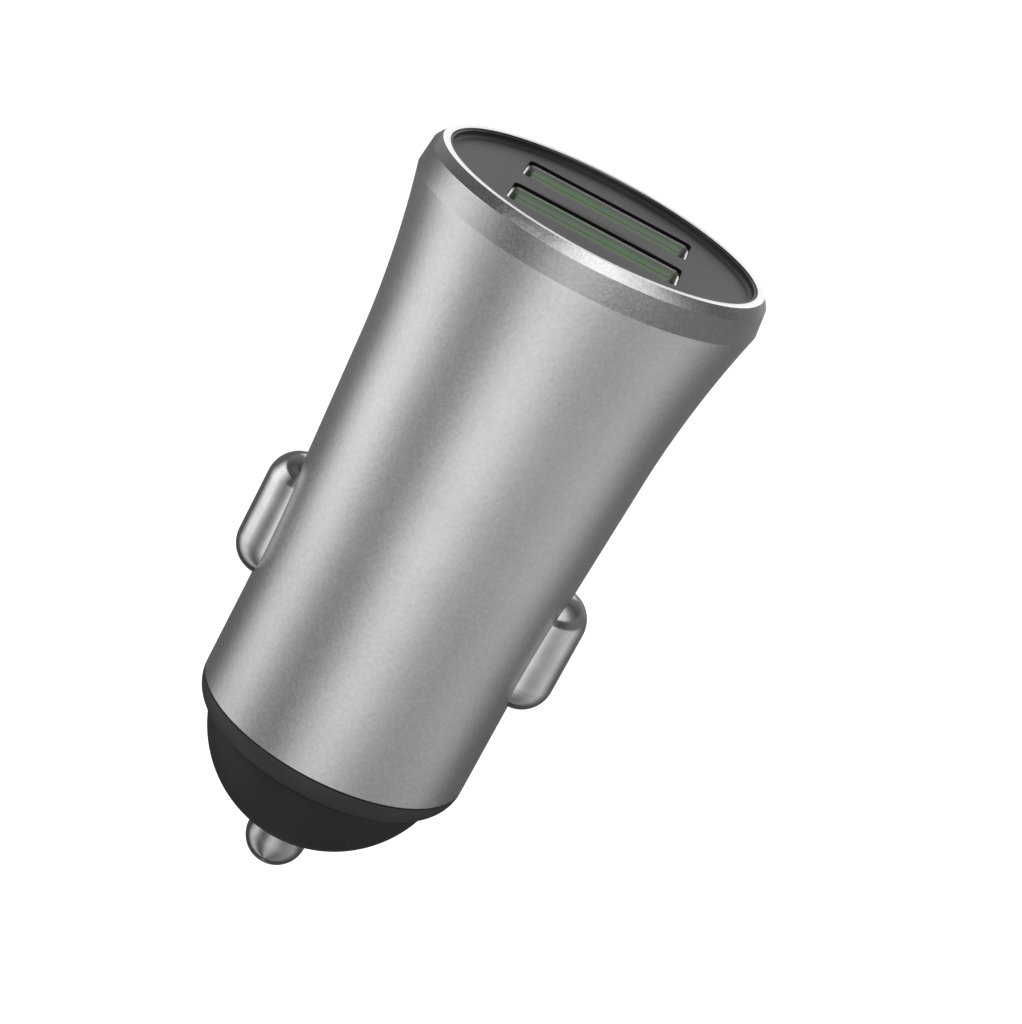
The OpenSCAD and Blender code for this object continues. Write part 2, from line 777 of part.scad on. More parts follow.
// Outline of half a contact about its end's axis: radius across, height outward
module contact_half_profile(half_w, round_r, from_x, to_x) {
    translate([0, from_x]) square([half_w, to_x - round_r - from_x]);
    translate([0, from_x]) square([half_w - round_r, to_x - from_x]);
    translate([half_w - round_r, to_x - round_r]) intersection() {
        circle(r = round_r, $fn = 64);
        translate([-half_w + round_r, -round_r]) square([half_w, 2 * round_r]);
    }
}

// A pressed pill form: a straight middle with a turned end above and below
module contact_form(w, l, round_r, from_x, to_x) {
    straight = l - w;
    for (side = [-1, 1]) translate([0, 0, side * straight / 2]) rotate([0, 90, 0])
        rotate_extrude($fn = 64) contact_half_profile(w / 2, round_r, from_x, to_x);
    translate([0, 0, -straight / 2]) linear_extrude(straight) rotate(-90)
        for (side = [0, 1]) mirror([side, 0]) contact_half_profile(w / 2, round_r, from_x, to_x);
}

module ground_contact(side) {
    sheet = contact_sheet;
    color("lightgray") toward(side) difference() {
        union() {
            contact_form(contact_w, contact_l, contact_round, flange_in_x, contact_reach);
            translate([flange_in_x, 0, 0]) rotate([90, 0, 90]) linear_extrude(sheet)
                slot_outline(contact_w + 2 * flange_w, contact_l + 2 * flange_w);
        }
        contact_form(
            contact_w - 2 * sheet, contact_l - 2 * sheet, contact_round - sheet,
            flange_in_x - past, contact_reach - sheet
        );
    }
}

// The spring's last turn lies in the contact's hollow, where the round inner corner
// stops it a little short of the outer wall
module contact_spring(side) {
    inner_round = contact_round - contact_sheet;
    wire_room = inner_round - side_wire_d / 2;
    corner_run = side_spring_r - contact_w / 2 + contact_round;
    seat_drop_in = wire_room - sqrt(wire_room * wire_room - corner_run * corner_run) + snug_gap;
    spring_h = contact_reach - contact_sheet - seat_drop_in - tab_x;
    color("darkgray") toward(side) translate([tab_x, 0, 0]) rotate([0, 90, 0])
        coil(side_spring_r, side_wire_d, spring_h, side_turns, 6, 16);
}

// Metal tab behind a contact's spring, with a tail that is soldered to the board
module ground_tab(side) {
    tail_x = board_stem_r - seat_tail_l;
    color("gold") toward(side) {
        translate([pocket_x, -seat_tab_w / 2, -seat_tab_h / 2])
            cube([seat_tab_t, seat_tab_w, seat_tab_h]);
        translate([tail_x, board_t / 2, -seat_tail_h / 2])
            cube([pocket_x + seat_tab_t - tail_x, seat_tab_t, seat_tail_h]);
    }
}

// Nose

module nose_collar() {
    color([0.2, 0.2, 0.21]) rotate_extrude($fn = fn_turned) difference() {
        union() {
            intersection() {
                translate([body_r - collar_round, 0]) circle(r = collar_round, $fn = 96);
                translate([0, -collar_h]) square([body_r, collar_h]);
            }
            translate([0, -collar_h]) square([body_r - collar_round, collar_h]);
            square([spigot_r, spigot_h]);
        }
        translate([0, -collar_h - past]) square([collar_bore_r, spigot_h + collar_h + 2 * past]);
    }
}

module nose_cap() {
    hole_r = pin_r + slide_gap;
    color([0.15, 0.15, 0.15]) rotate_extrude($fn = fn_turned) difference() {
        union() {
            intersection() {
                circle(r = dome_r, $fn = 192);
                translate([0, -dome_r - past]) square([dome_r, dome_r + past - collar_h]);
            }
            translate([0, -collar_h - past]) square([cap_skirt_r, past + cap_skirt_h]);
        }
        intersection() {
            circle(r = dome_in_r, $fn = 192);
            translate([0, dome_floor_z]) square([cap_skirt_r - cap_skirt_t, dome_r]);
        }
        translate([0, -collar_h - past])
            square([cap_skirt_r - cap_skirt_t, 2 * past + cap_skirt_h + collar_h]);
        translate([0, -dome_r - past]) square([hole_r, dome_r]);
    }
}

// Centre pin

module centre_pin() {
    color("lightgray") rotate_extrude($fn = fn_turned) {
        intersection() {
            translate([0, pin_tip_z + pin_r]) circle(r = pin_r, $fn = 96);
            translate([0, pin_tip_z - past]) square([pin_r, pin_r + past]);
        }
        translate([0, pin_tip_z + pin_r]) square([pin_r, pin_flange_z - pin_tip_z - pin_r]);
        translate([0, pin_flange_z]) square([pin_flange_d / 2, pin_flange_t]);
        translate([0, pin_flange_z]) square([pin_spigot_d / 2, pin_flange_t + pin_spigot_h]);
    }
}

module pin_spring() {
    color("darkgray") translate([0, 0, pin_flange_top])
        coil(pin_spring_r, pin_wire_d, terminal_z - pin_flange_top, pin_turns, 8, 20);
}

// Disc under the deck, with two prongs that grip the upright board
module pin_terminal() {
    color("gold") {
        translate([0, 0, terminal_z]) cylinder(d = terminal_d, h = terminal_t, $fn = 64);
        for (side = [0, 1]) mirror([0, side, 0])
            translate([-prong_w / 2, board_t / 2, terminal_z])
            cube([prong_w, terminal_t, deck_top + prong_h - terminal_z]);
    }
}

body_shell();
face_plate();
port_shell(-1);  // port_shell_front
port_shell(1);  // port_shell_rear
port_insert(-1);  // port_insert_front
port_insert(1);  // port_insert_rear
port_terminals(-1);  // port_terminals_front
port_terminals(1);  // port_terminals_rear
port_board();
power_board();
converter_chip();
charge_chip();
power_inductor();
catch_diode();
fuse();
can_capacitor(-1);  // input_capacitor
can_capacitor(1);  // output_capacitor
chip_resistors();
chip_capacitors();
frame_half(-1);  // frame_front
frame_half(1);  // frame_rear
ground_contact(-1);  // ground_contact_left
ground_contact(1);  // ground_contact_right
contact_spring(-1);  // contact_spring_left
contact_spring(1);  // contact_spring_right
ground_tab(-1);  // ground_tab_left
ground_tab(1);  // ground_tab_right
centre_pin();
pin_spring();
pin_terminal();
nose_collar();
nose_cap();
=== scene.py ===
"""A metal car charger, dressed for a studio picture.

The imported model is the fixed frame. Each piece that shows is modelled again here to the
same sizes, with the small radii and the finish of the real one, and rides on the body
that carries it. Sizes in the classes are millimetres and become metres in the meshes.
"""

from __future__ import annotations

import json
import logging
import math
from collections.abc import Callable
from dataclasses import dataclass
from enum import Enum
from functools import cached_property

import bpy
from mathutils import Matrix, Vector


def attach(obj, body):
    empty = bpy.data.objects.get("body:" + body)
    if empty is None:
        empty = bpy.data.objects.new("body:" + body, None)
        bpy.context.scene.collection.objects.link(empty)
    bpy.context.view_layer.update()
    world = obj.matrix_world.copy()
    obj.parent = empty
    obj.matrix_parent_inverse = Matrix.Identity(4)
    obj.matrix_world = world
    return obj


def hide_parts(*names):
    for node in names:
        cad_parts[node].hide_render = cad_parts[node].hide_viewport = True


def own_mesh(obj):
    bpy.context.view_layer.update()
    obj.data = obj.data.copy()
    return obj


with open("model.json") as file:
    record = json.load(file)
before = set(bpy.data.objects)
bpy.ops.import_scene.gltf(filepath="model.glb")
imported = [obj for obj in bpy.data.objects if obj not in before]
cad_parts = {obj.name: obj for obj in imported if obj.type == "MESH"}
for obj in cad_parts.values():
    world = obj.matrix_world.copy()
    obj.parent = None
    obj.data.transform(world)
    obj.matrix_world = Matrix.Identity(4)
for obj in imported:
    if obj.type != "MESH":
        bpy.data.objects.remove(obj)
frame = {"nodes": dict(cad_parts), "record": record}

# Metres in a millimetre
MM = 0.001
# How far a cutter or a joined block reaches past the other solid
PAST = 1
# Places nearer than this, in millimetres, count as one
NEAR = 0.0005
LOG = logging.getLogger("car_charger")

Solid = bpy.types.Object
Socket = bpy.types.NodeSocket
Material = bpy.types.Material
Profile = list[tuple[float, float]]
Point = tuple[float, float, float]
Colour = tuple[float, float, float]
Stops = tuple[tuple[float, float], ...]


class Body(Enum):
    """The moving bodies of the frame."""

    PLUG = "plug_body"
    PIN = "pin"
    LEFT = "left_contact"
    RIGHT = "right_contact"


class Side(Enum):
    """The sides on which something stands that comes in pairs."""

    FRONT = "front"
    REAR = "rear"
    LEFT = "left"
    RIGHT = "right"

    @property
    def sign(self) -> int:
        """The sign of the side's X or Y."""
        return 1 if self in (Side.REAR, Side.RIGHT) else -1


# Modelling


class Bench:
    """The steps that every piece is modelled with. Lengths are millimetres."""

    @staticmethod
    def clear() -> None:
        """Leaves edit mode and deselects everything."""
        if bpy.context.object and bpy.context.object.mode != "OBJECT":
            bpy.ops.object.mode_set(mode="OBJECT")
        bpy.ops.object.select_all(action="DESELECT")

    @classmethod
    def only(cls, piece: Solid) -> None:
        """Selects one piece and makes it the active one.

        Args:
            piece: The piece.
        """
        cls.clear()
        piece.select_set(True)
        bpy.context.view_layer.objects.active = piece

    @staticmethod
    def named(name: str) -> Solid:
        """Names the object that was added last and returns it."""
        bpy.context.object.name = name
        return bpy.context.object

    @classmethod
    def put(
        cls, piece: Solid, x: float = 0, y: float = 0, z: float = 0, angles: Point = (0, 0, 0)
    ) -> Solid:
        """Turns and moves a piece's mesh, so that its object sits at the origin.

        Args:
            piece: The mesh object.
            x: How far it is moved along X.
            y: How far it is moved along Y.
            z: How far it is moved along Z.
            angles: How far it is first turned about X, Y and Z, in degrees.

        Returns:
            The same piece.
        """
        piece.rotation_euler = [math.radians(angle) for angle in angles]
        piece.location = (x * MM, y * MM, z * MM)
        cls.only(piece)
        bpy.ops.object.transform_apply(location=True, rotation=True, scale=True)
        return piece

    @classmethod
    def apply_modifier(cls, piece: Solid, kind: str, **settings: object) -> None:
        """Adds a modifier and applies it at once.

        Args:
            piece: The mesh object to change.
            kind: Blender's name of the modifier's type.
            **settings: Values for the modifier's own properties.
        """
        cls.only(piece)
        modifier = piece.modifiers.new(kind.lower(), kind)
        for name, value in settings.items():
            setattr(modifier, name, value)
        bpy.ops.object.modifier_apply(modifier=modifier.name)

    @classmethod
    def cut(cls, piece: Solid, cutter: Solid) -> None:
        """Cuts one solid out of another and removes the cutter."""
        cls.apply_modifier(piece, "BOOLEAN", operation="DIFFERENCE", object=cutter, solver="EXACT")
        bpy.data.objects.remove(cutter)

    @classmethod
    def cut_each(cls, piece: Solid, cutter: Solid, places: list[tuple[float, float]]) -> None:
        """Cuts a solid out at several places and removes it.

        Args:
            piece: The mesh object to cut.
            cutter: The solid, about the axis.
            places: X and Y of each cut.
        """
        for x, y in places:
            cls.cut(piece, cls.copy(cutter, "one_cutter", x, y))
        bpy.data.objects.remove(cutter)

    @classmethod
    def join(cls, pieces: list[Solid], name: str) -> Solid:
        """Joins several meshes into one.

        Args:
            pieces: The meshes; the first one keeps its object.
            name: The joined piece's name.

        Returns:
            The joined piece.
        """
        cls.only(pieces[0])
        for piece in pieces[1:]:
            piece.select_set(True)
        bpy.ops.object.join()
        return cls.named(name)

    @classmethod
    def copy(cls, piece: Solid, name: str, x: float = 0, y: float = 0, turned: bool = False) -> Solid:
        """Copies a piece, with a mesh of its own.

        Args:
            piece: The piece to copy, with its place in its mesh.
            name: The copy's name.
            x: How far the copy is moved along X.
            y: How far it is moved along Y.
            turned: Whether it is first turned half round about the Z axis.

        Returns:
            The copy.
        """
        cls.only(piece)
        bpy.ops.object.duplicate()
        return cls.put(cls.named(name), x, y, angles=(0, 0, 180 if turned else 0))

    @classmethod
    def open_edit(cls, piece: Solid) -> None:
        """Opens edit mode with the whole mesh selected.

        Args:
            piece: The mesh object.
        """
        cls.only(piece)
        bpy.ops.object.mode_set(mode="EDIT")
        bpy.ops.mesh.select_mode(type="VERT")
        bpy.ops.mesh.select_all(action="SELECT")

    @classmethod
    def pick(cls, piece: Solid, test: Callable[[Vector], bool]) -> None:
        """Opens edit mode with only the vertices selected that pass a test.

        Args:
            piece: The mesh object.
            test: Called with a vertex's place, in millimetres.
        """
        cls.open_edit(piece)
        bpy.ops.mesh.select_all(action="DESELECT")
        bpy.ops.object.mode_set(mode="OBJECT")
        for vertex in piece.data.vertices:
            vertex.select = test(vertex.co / MM)
        bpy.ops.object.mode_set(mode="EDIT")

    @staticmethod
    def extrude(x: float = 0, z: float = 0) -> None:
        """Extrudes the selection along X and Z."""
        bpy.ops.mesh.extrude_region_move(TRANSFORM_OT_translate={"value": (x * MM, 0, z * MM)})

    @staticmethod
    def shift(y: float = 0, z: float = 0) -> None:
        """Moves the selection along Y and Z and leaves edit mode."""
        bpy.ops.transform.translate(value=(0, y * MM, z * MM))
        bpy.ops.object.mode_set(mode="OBJECT")

    @staticmethod
    def close_edit() -> None:
        """Merges doubles, turns the faces outwards and leaves edit mode."""
        bpy.ops.mesh.select_all(action="SELECT")
        bpy.ops.mesh.remove_doubles(threshold=NEAR * MM)
        bpy.ops.mesh.normals_make_consistent(inside=False)
        bpy.ops.object.mode_set(mode="OBJECT")

    @classmethod
    def break_edges(cls, piece: Solid, width: float, angle: float = 15, segments: int = 3) -> None:
        """Rounds every edge sharper than an angle, then smooths the shading.

        Args:
            piece: The mesh object.
            width: How far the rounding reaches from the edge.
            angle: The least angle, in degrees, that counts as an edge.
            segments: How many faces the rounding gets.
        """
        cls.apply_modifier(
            piece, "BEVEL", width=width * MM, segments=segments, limit_method="ANGLE",
            angle_limit=math.radians(angle), use_clamp_overlap=True,
        )
        cls.smooth(piece)

    @classmethod
    def smooth(cls, piece: Solid, angle: float = 34) -> None:
        """Shades smoothly below an angle, with large faces kept flat.

        Args:
            piece: The mesh object.
            angle: The angle, in degrees.
        """
        cls.only(piece)
        bpy.ops.object.shade_smooth_by_angle(angle=math.radians(angle))
        cls.apply_modifier(piece, "WEIGHTED_NORMAL", keep_sharp=True, weight=50)

    @classmethod
    def turn(cls, name: str, profile: Profile, sides: int = 192) -> Solid:
        """Turns a profile about the Z axis, ring by ring.

        Args:
            name: The piece's name.
            profile: Radius and height of each ring in order. A radius of 0 ends in a
                pole, and a profile that comes back to its first ring is closed.
            sides: How many sides a ring has.

        Returns:
            The turned piece.
        """
        cls.clear()
        radius, height = profile[0]
        bpy.ops.mesh.primitive_circle_add(vertices=sides, radius=radius * MM)
        piece = cls.put(cls.named(name), z=height)
        cls.open_edit(piece)
        for next_radius, next_height in profile[1:]:
            cls.extrude(z=next_height - height)
            if next_radius > 0:
                share = next_radius / radius
                bpy.ops.transform.resize(value=(share, share, 1), center_override=(0, 0, 0))
            else:
                bpy.ops.mesh.merge(type="CENTER")
            radius, height = next_radius, next_height
        cls.close_edit()
        return piece

    @classmethod
    def slab(cls, name: str, width: float, depth: float, corner: float, low: float, high: float) -> Solid:
        """Makes an upright block on a rectangle with round corners, about the Z axis.

        Args:
            name: The block's name.
            width: Its length along X.
            depth: Its length along Y.
            corner: The radius of its upright edges.
            low: The height of its lower face.
            high: The height of its upper face.

        Returns:
            The block.
        """
        cls.clear()
        bpy.ops.mesh.primitive_plane_add(size=MM)
        piece = cls.named(name)
        piece.scale = (width, depth, 1)
        cls.put(piece, z=low)
        cls.open_edit(piece)
        if corner > 0:
            bpy.ops.mesh.bevel(offset=corner * MM, segments=6, affect="VERTICES")
            bpy.ops.mesh.select_all(action="SELECT")
        cls.extrude(z=high - low)
        cls.close_edit()
        return piece

    @classmethod
    def stretch(cls, piece: Solid, length: float, split: bool = False) -> None:
        """Draws a round piece apart into a pill along Z.

        Args:
            piece: The mesh object, about the height 0.
            length: How much longer it becomes.
            split: Whether vertices in the middle go down with the lower half.
        """
        near = -NEAR if split else NEAR
        for sign in (-1, 1):
            cls.pick(piece, lambda place: place.z * sign > near)
            cls.shift(z=sign * length / 2)


def arc(centre: tuple[float, float], radius: float, start: float, end: float, steps: int) -> Profile:
    """Points along an arc of a profile.

    Args:
        centre: Radius and height of the arc's centre.
        radius: The arc's radius.
        start: Its first angle in degrees, from outwards towards up.
        end: Its last angle.
        steps: How many stretches it is divided into.

    Returns:
        Radius and height of each point, both ends included.
    """
    angles = [math.radians(start + (end - start) * i / steps) for i in range(steps + 1)]
    return [(centre[0] + radius * math.cos(a), centre[1] + radius * math.sin(a)) for a in angles]


# Finishes


class Graph:
    """The node tree of one material or world, with short ways to add nodes."""

    def __init__(self, owner: Material | bpy.types.World) -> None:
        """Starts with an empty tree.

        Args:
            owner: The material or world.
        """
        self.owner = owner
        owner.use_nodes = True
        self.tree = owner.node_tree
        self.tree.nodes.clear()

    @classmethod
    def of_material(cls, name: str) -> Graph:
        """Starts a new material."""
        return cls(bpy.data.materials.new(name))

    @cached_property
    def place(self) -> Socket:
        """The place on the piece."""
        return self.node("ShaderNodeTexCoord").outputs["Object"]

    def node(
        self, kind: str, inputs: dict[str | int, object] | None = None, **settings: object
    ) -> bpy.types.Node:
        """Adds a node.

        Args:
            kind: The node's type.
            inputs: What goes into its sockets: a number, a colour or another socket.
            **settings: Values for the node's own properties.

        Returns:
            The new node.
        """
        made = self.tree.nodes.new(kind)
        for name, value in settings.items():
            setattr(made, name, value)
        for name, value in (inputs or {}).items():
            if isinstance(value, Socket):
                self.tree.links.new(value, made.inputs[name])
            else:
                made.inputs[name].default_value = value
        return made

    def math(self, operation: str, a: object, b: object = 0.0) -> Socket:
        """Adds a Math node and returns its result."""
        return self.node("ShaderNodeMath", {0: a, 1: b}, operation=operation).outputs[0]

    def total(self, base: Socket, *parts: tuple[Socket, float]) -> Socket:
        """Adds weighted values to a first one.

        Args:
            base: The first value.
            *parts: Each further value with its weight.

        Returns:
            The sum.
        """
        for value, weight in parts:
            base = self.math("ADD", base, self.math("MULTIPLY", value, weight))
        return base

    def grade(
        self, value: object, low: float, high: float, to_low: float = 0, to_high: float = 1
    ) -> Socket:
        """Maps a value smoothly from one range to another.

        Args:
            value: The value.
            low: Where its range begins.
            high: Where its range ends.
            to_low: What it becomes at and below the low end.
            to_high: What it becomes at and above the high end.

        Returns:
            The mapped value.
        """
        ends = {"From Min": low, "From Max": high, "To Min": to_low, "To Max": to_high}
        made = self.node("ShaderNodeMapRange", {"Value": value, **ends}, interpolation_type="SMOOTHSTEP")
        return made.outputs["Result"]

    def step(self, length: Socket, place: float, soft: float) -> Socket:
        """Steps from 0 to 1 at a place in millimetres, softened that far to both sides."""
        return self.grade(length, (place - soft) * MM, (place + soft) * MM)

    def noise(self, size: float, detail: float = 2, place: Socket | None = None) -> Socket:
        """Adds a noise texture whose features have a size in millimetres."""
        inputs = {"Vector": place or self.place, "Scale": 1 / (size * MM), "Detail": detail}
        return self.node("ShaderNodeTexNoise", inputs).outputs["Fac"]

    def blend(self, share: Socket, first: Colour | Socket, second: Colour | Socket) -> Socket:
        """Mixes two colours, each a constant or a socket."""
        first, second = (one if isinstance(one, Socket) else (*one, 1) for one in (first, second))
        return self.node("ShaderNodeMix", {0: share, 6: first, 7: second}, data_type="RGBA").outputs[2]

    def bump(
        self, height: Socket, depth: float, strength: float, normal: Socket | None = None
    ) -> Socket:
        """Adds relief.

        Args:
            height: The relief's height, from 0 to 1.
            depth: Its full height, in millimetres.
            strength: How much of it shows.
            normal: The normal that it is laid over.

        Returns:
            The normal with the relief.
        """
        inputs = {"Height": height, "Distance": depth * MM, "Strength": strength}
        if normal is not None:
            inputs["Normal"] = normal
        return self.node("ShaderNodeBump", inputs).outputs["Normal"]

    def axis(self) -> dict[str, Socket]:
        """Splits the place on the piece into its X, Y and Z."""
        return dict(self.node("ShaderNodeSeparateXYZ", {0: self.place}).outputs.items())

    def surface(self, **inputs: object) -> Material:
        """Ends the material in a Principled shader.

        Args:
            **inputs: The shader's sockets by name, with underscores for spaces.

        Returns:
            The finished material.
        """
        named = {name.replace("_", " "): value for name, value in inputs.items()}
        shader = self.node("ShaderNodeBsdfPrincipled", named)
        self.node("ShaderNodeOutputMaterial", {"Surface": shader.outputs[0]})
        return self.owner


@dataclass(frozen=True)
class BlastedAluminium:
    """Bead-blasted, clear-anodised aluminium with a finely turned chamfer and lip."""

    name: str
    light: Colour = (0.645, 0.645, 0.647)
    dark: Colour = (0.535, 0.535, 0.538)
    cut_light: Colour = (0.84, 0.84, 0.845)
    cut_dark: Colour = (0.68, 0.68, 0.685)
    roughness: float = 0.33
    roughness_swing: float = 0.04
    cut_roughness: float = 0.17
    cut_from: float = 42.46
    cloud: float = 9
    grain: float = 0.16
    grain_depth: float = 0.012
    dimple: float = 0.34
    dimple_depth: float = 0.014

    def make(self) -> Material:
        """Builds the material.

        Returns:
            The material.
        """
        graph = Graph.of_material(self.name)
        cut = graph.step(graph.axis()["Z"], self.cut_from, 0.02)
        grain = graph.noise(self.grain, detail=3)
        dimple = graph.noise(self.dimple)
        patches = graph.total(
            graph.math("MULTIPLY", grain, 0.5), (dimple, 0.3), (graph.noise(self.cloud), 0.2)
        )
        tone = graph.grade(patches, 0.34, 0.66)
        low, high = self.roughness - self.roughness_swing, self.roughness + self.roughness_swing
        return graph.surface(
            Base_Color=graph.blend(
                cut,
                graph.blend(tone, self.dark, self.light),
                graph.blend(tone, self.cut_dark, self.cut_light),
            ),
            Metallic=1.0,
            Roughness=graph.total(
                graph.grade(grain, 0.25, 0.75, low, high), (cut, self.cut_roughness - self.roughness)
            ),
            Normal=graph.bump(dimple, self.dimple_depth, 0.55, graph.bump(grain, self.grain_depth, 0.35)),
        )


@dataclass(frozen=True)
class BrightMetal:
    """Plated or rolled metal with fine lines along one axis and faint wear."""

    name: str
    light: Colour
    dark: Colour
    roughness: float
    line_size: float = 0.05
    line_length: float = 3.0
    line_depth: float = 0.002
    wear_size: float = 1.6

    def make(self) -> Material:
        """Builds the material.

        Returns:
            The material.
        """
        graph = Graph.of_material(self.name)
        stretched = graph.node(
            "ShaderNodeMapping",
            {"Vector": graph.place, "Scale": (1, 1, self.line_size / self.line_length)},
        ).outputs[0]
        lines = graph.noise(self.line_size, place=stretched)
        wear = graph.noise(self.wear_size, detail=4)
        rough = graph.grade(wear, 0.3, 0.7, self.roughness - 0.03, self.roughness + 0.05)
        return graph.surface(
            Base_Color=graph.blend(graph.grade(wear, 0.35, 0.65), self.dark, self.light),
            Metallic=1.0,
            Roughness=graph.total(rough, (lines, 0.03)),
            Normal=graph.bump(lines, self.line_depth, 0.2),
        )


@dataclass(frozen=True)
class FoldedSteel:
    """Plated steel strip, bright across the ports' short ends; along their sides it is rougher and its
    colour is a dark, greenish painted shade.
    """

    name: str
    bright: Colour = (0.93, 0.93, 0.91)
    side_painted_shade: Colour = (0.42, 0.455, 0.41)
    worn_share: float = 0.86
    roughness: float = 0.16
    dull_roughness: float = 0.6
    bright_from: float = 6.1
    wear_size: float = 0.9
    grain: float = 0.06

    def make(self) -> Material:
        """Builds the material.

        Returns:
            The material.
        """
        graph = Graph.of_material(self.name)
        # 1 across the short ends; along the long sides the base colour is the painted shade.
        end = graph.step(graph.math("ABSOLUTE", graph.axis()["X"]), self.bright_from, 0.1)
        wear = graph.noise(self.wear_size, detail=4)
        worn = tuple(self.worn_share * c for c in self.bright)
        bright = graph.blend(graph.grade(wear, 0.35, 0.65), worn, self.bright)
        return graph.surface(
            # Painted shade along the long sides, the steel's own worn colour across the ends.
            Base_Color=graph.blend(end, self.side_painted_shade, bright),
            Metallic=1.0,
            Roughness=graph.total(
                graph.grade(end, 0, 1, self.dull_roughness, self.roughness), (wear, 0.08)
            ),
            Normal=graph.bump(graph.noise(self.grain), 0.002, 0.3),
        )


@dataclass(frozen=True)
class MouldedPlastic:
    """Injection-moulded plastic with a fine spark-eroded skin.

    Below a height in millimetres it can have another roughness and a painted tone: painted shade where
    that tone is darker, painted light where it is lighter.
    """

    name: str
    light: Colour
    dark: Colour
    roughness: float = 0.45
    roughness_swing: float = 0.05
    skin: float = 0.12
    depth: float = 0.006
    gloss: float = 0.5
    flow: float = 6
    below: float = -100
    painted_tone_below: Colour = (0.02, 0.02, 0.02)
    below_roughness: float = 0.8

    def make(self) -> Material:
        """Builds the material.

        Returns:
            The material.
        """
        graph = Graph.of_material(self.name)
        # Share above the height; below it the base colour is the painted tone, not the plastic's own
        # colour.
        above = graph.step(graph.axis()["Z"], self.below, 0.01)
        skin = graph.noise(self.skin, detail=3)
        low, high = self.roughness - self.roughness_swing, self.roughness + self.roughness_swing
        rough = graph.math(
            "ADD",
            graph.grade(skin, 0.25, 0.75, low, high),
            graph.grade(above, 0, 1, self.below_roughness - self.roughness, 0),
        )
        tone = graph.blend(graph.grade(graph.noise(self.flow), 0.3, 0.7), self.dark, self.light)
        return graph.surface(
            # Below the height the painted tone (painted shade or painted light, as each finish sets it)
            # replaces the moulded colour.
            Base_Color=graph.blend(above, self.painted_tone_below, tone),
            Roughness=rough,
            Specular_IOR_Level=self.gloss,
            Normal=graph.bump(skin, self.depth, 0.4),
        )


@dataclass(frozen=True)
class BoardLaminate:
    """Circuit board: solder mask over woven glass, with copper tracks under it."""

    name: str
    mask: Colour = (0.012, 0.075, 0.03)
    track: Colour = (0.03, 0.14, 0.06)
    track_pitch: float = 3
    track_depth: float = 0.02
    weave: float = 0.3
    weave_depth: float = 0.004

    def make(self) -> Material:
        """Builds the material.

        Returns:
            The material.
        """
        graph = Graph.of_material(self.name)
        scale = 1 / (self.track_pitch * MM)
        tracks = graph.node(
            "ShaderNodeTexBrick",
            {"Vector": graph.place, "Scale": scale, "Mortar Size": 0.06, "Mortar Smooth": 0.1},
        ).outputs["Fac"]
        weave = graph.noise(self.weave)
        relief = graph.bump(weave, self.weave_depth, 0.3)
        return graph.surface(
            Base_Color=graph.blend(tracks, self.mask, self.track),
            Roughness=graph.grade(weave, 0.3, 0.7, 0.28, 0.36),
            Normal=graph.bump(tracks, self.track_depth, 0.5, relief),
        )


# Every finish, each with the name of its slot in the record
FINISHES = (
    BlastedAluminium("anodised_shell"),
    # Face plate: its slot walls below 42.59 mm get a near-black painted shade.
    MouldedPlastic(
        "face_plastic", light=(0.03, 0.029, 0.029), dark=(0.025, 0.024, 0.024),
        roughness=0.4, skin=0.1, depth=0.004, gloss=0.14, below=42.59, painted_tone_below=(0.004, 0.004, 0.004),
    ),
    # Collar: a near-black painted shade along its lower edge stands for the shadow gap above the dome.
    MouldedPlastic(
        "collar_plastic", light=(0.031, 0.031, 0.032), dark=(0.027, 0.027, 0.028),
        roughness=0.5, skin=0.1, depth=0.005, gloss=0.3, below=-1.78, painted_tone_below=(0.003, 0.003, 0.003),
    ),
    MouldedPlastic(
        "nose_plastic", light=(0.021, 0.021, 0.021), dark=(0.018, 0.018, 0.018),
        roughness=0.5, skin=0.1, depth=0.005, gloss=0.22,
    ),
    # Port shells: painted shade darkens their long sides.
    FoldedSteel("port_steel"),
    # Tongue and block: below 42.25 mm a much lighter painted light tone lifts the faces that lie in
    # shade.
    MouldedPlastic(
        "green_plastic", light=(0.06, 0.105, 0.053), dark=(0.046, 0.085, 0.04), skin=0.15, gloss=0.2,
        below=42.25, painted_tone_below=(0.27, 0.35, 0.25), below_roughness=0.5,
    ),
    BrightMetal("contact_brass", light=(0.8, 0.58, 0.25), dark=(0.66, 0.46, 0.18), roughness=0.2),
    BoardLaminate("board_green"),
    MouldedPlastic(
        "chip_black", light=(0.03, 0.03, 0.03), dark=(0.02, 0.02, 0.02), roughness=0.55, skin=0.08
    ),
    MouldedPlastic(
        "ferrite_grey", light=(0.1, 0.1, 0.105), dark=(0.06, 0.06, 0.065),
        roughness=0.65, skin=0.1, depth=0.01,
    ),
    MouldedPlastic(
        "ceramic_tan", light=(0.42, 0.3, 0.18), dark=(0.33, 0.23, 0.14), roughness=0.35, skin=0.2
    ),
    BrightMetal("can_aluminium", light=(0.74, 0.74, 0.75), dark=(0.62, 0.62, 0.63), roughness=0.24),
    MouldedPlastic("frame_plastic", light=(0.7, 0.69, 0.66), dark=(0.62, 0.61, 0.58), skin=0.15),
    BrightMetal("spring_steel", light=(0.55, 0.55, 0.55), dark=(0.42, 0.42, 0.42), roughness=0.25),
    BrightMetal(
        "contact_nickel", light=(0.67, 0.669, 0.667), dark=(0.58, 0.579, 0.577), roughness=0.075
    ),
)


class Wardrobe:
    """The materials, each made once, by their slots."""

    def __init__(self) -> None:
        """Makes the materials."""
        self.by_slot = {finish.name: finish.make() for finish in FINISHES}

    def dress_nodes(self) -> None:
        """Gives every CAD node the finish of its slot."""
        slot_of = {part["node"]: part["material_slot"] for part in frame["record"]["subparts"]}
        for name, node in frame["nodes"].items():
            for place in node.material_slots:
                place.material = self.by_slot[slot_of[name]]


# The charger


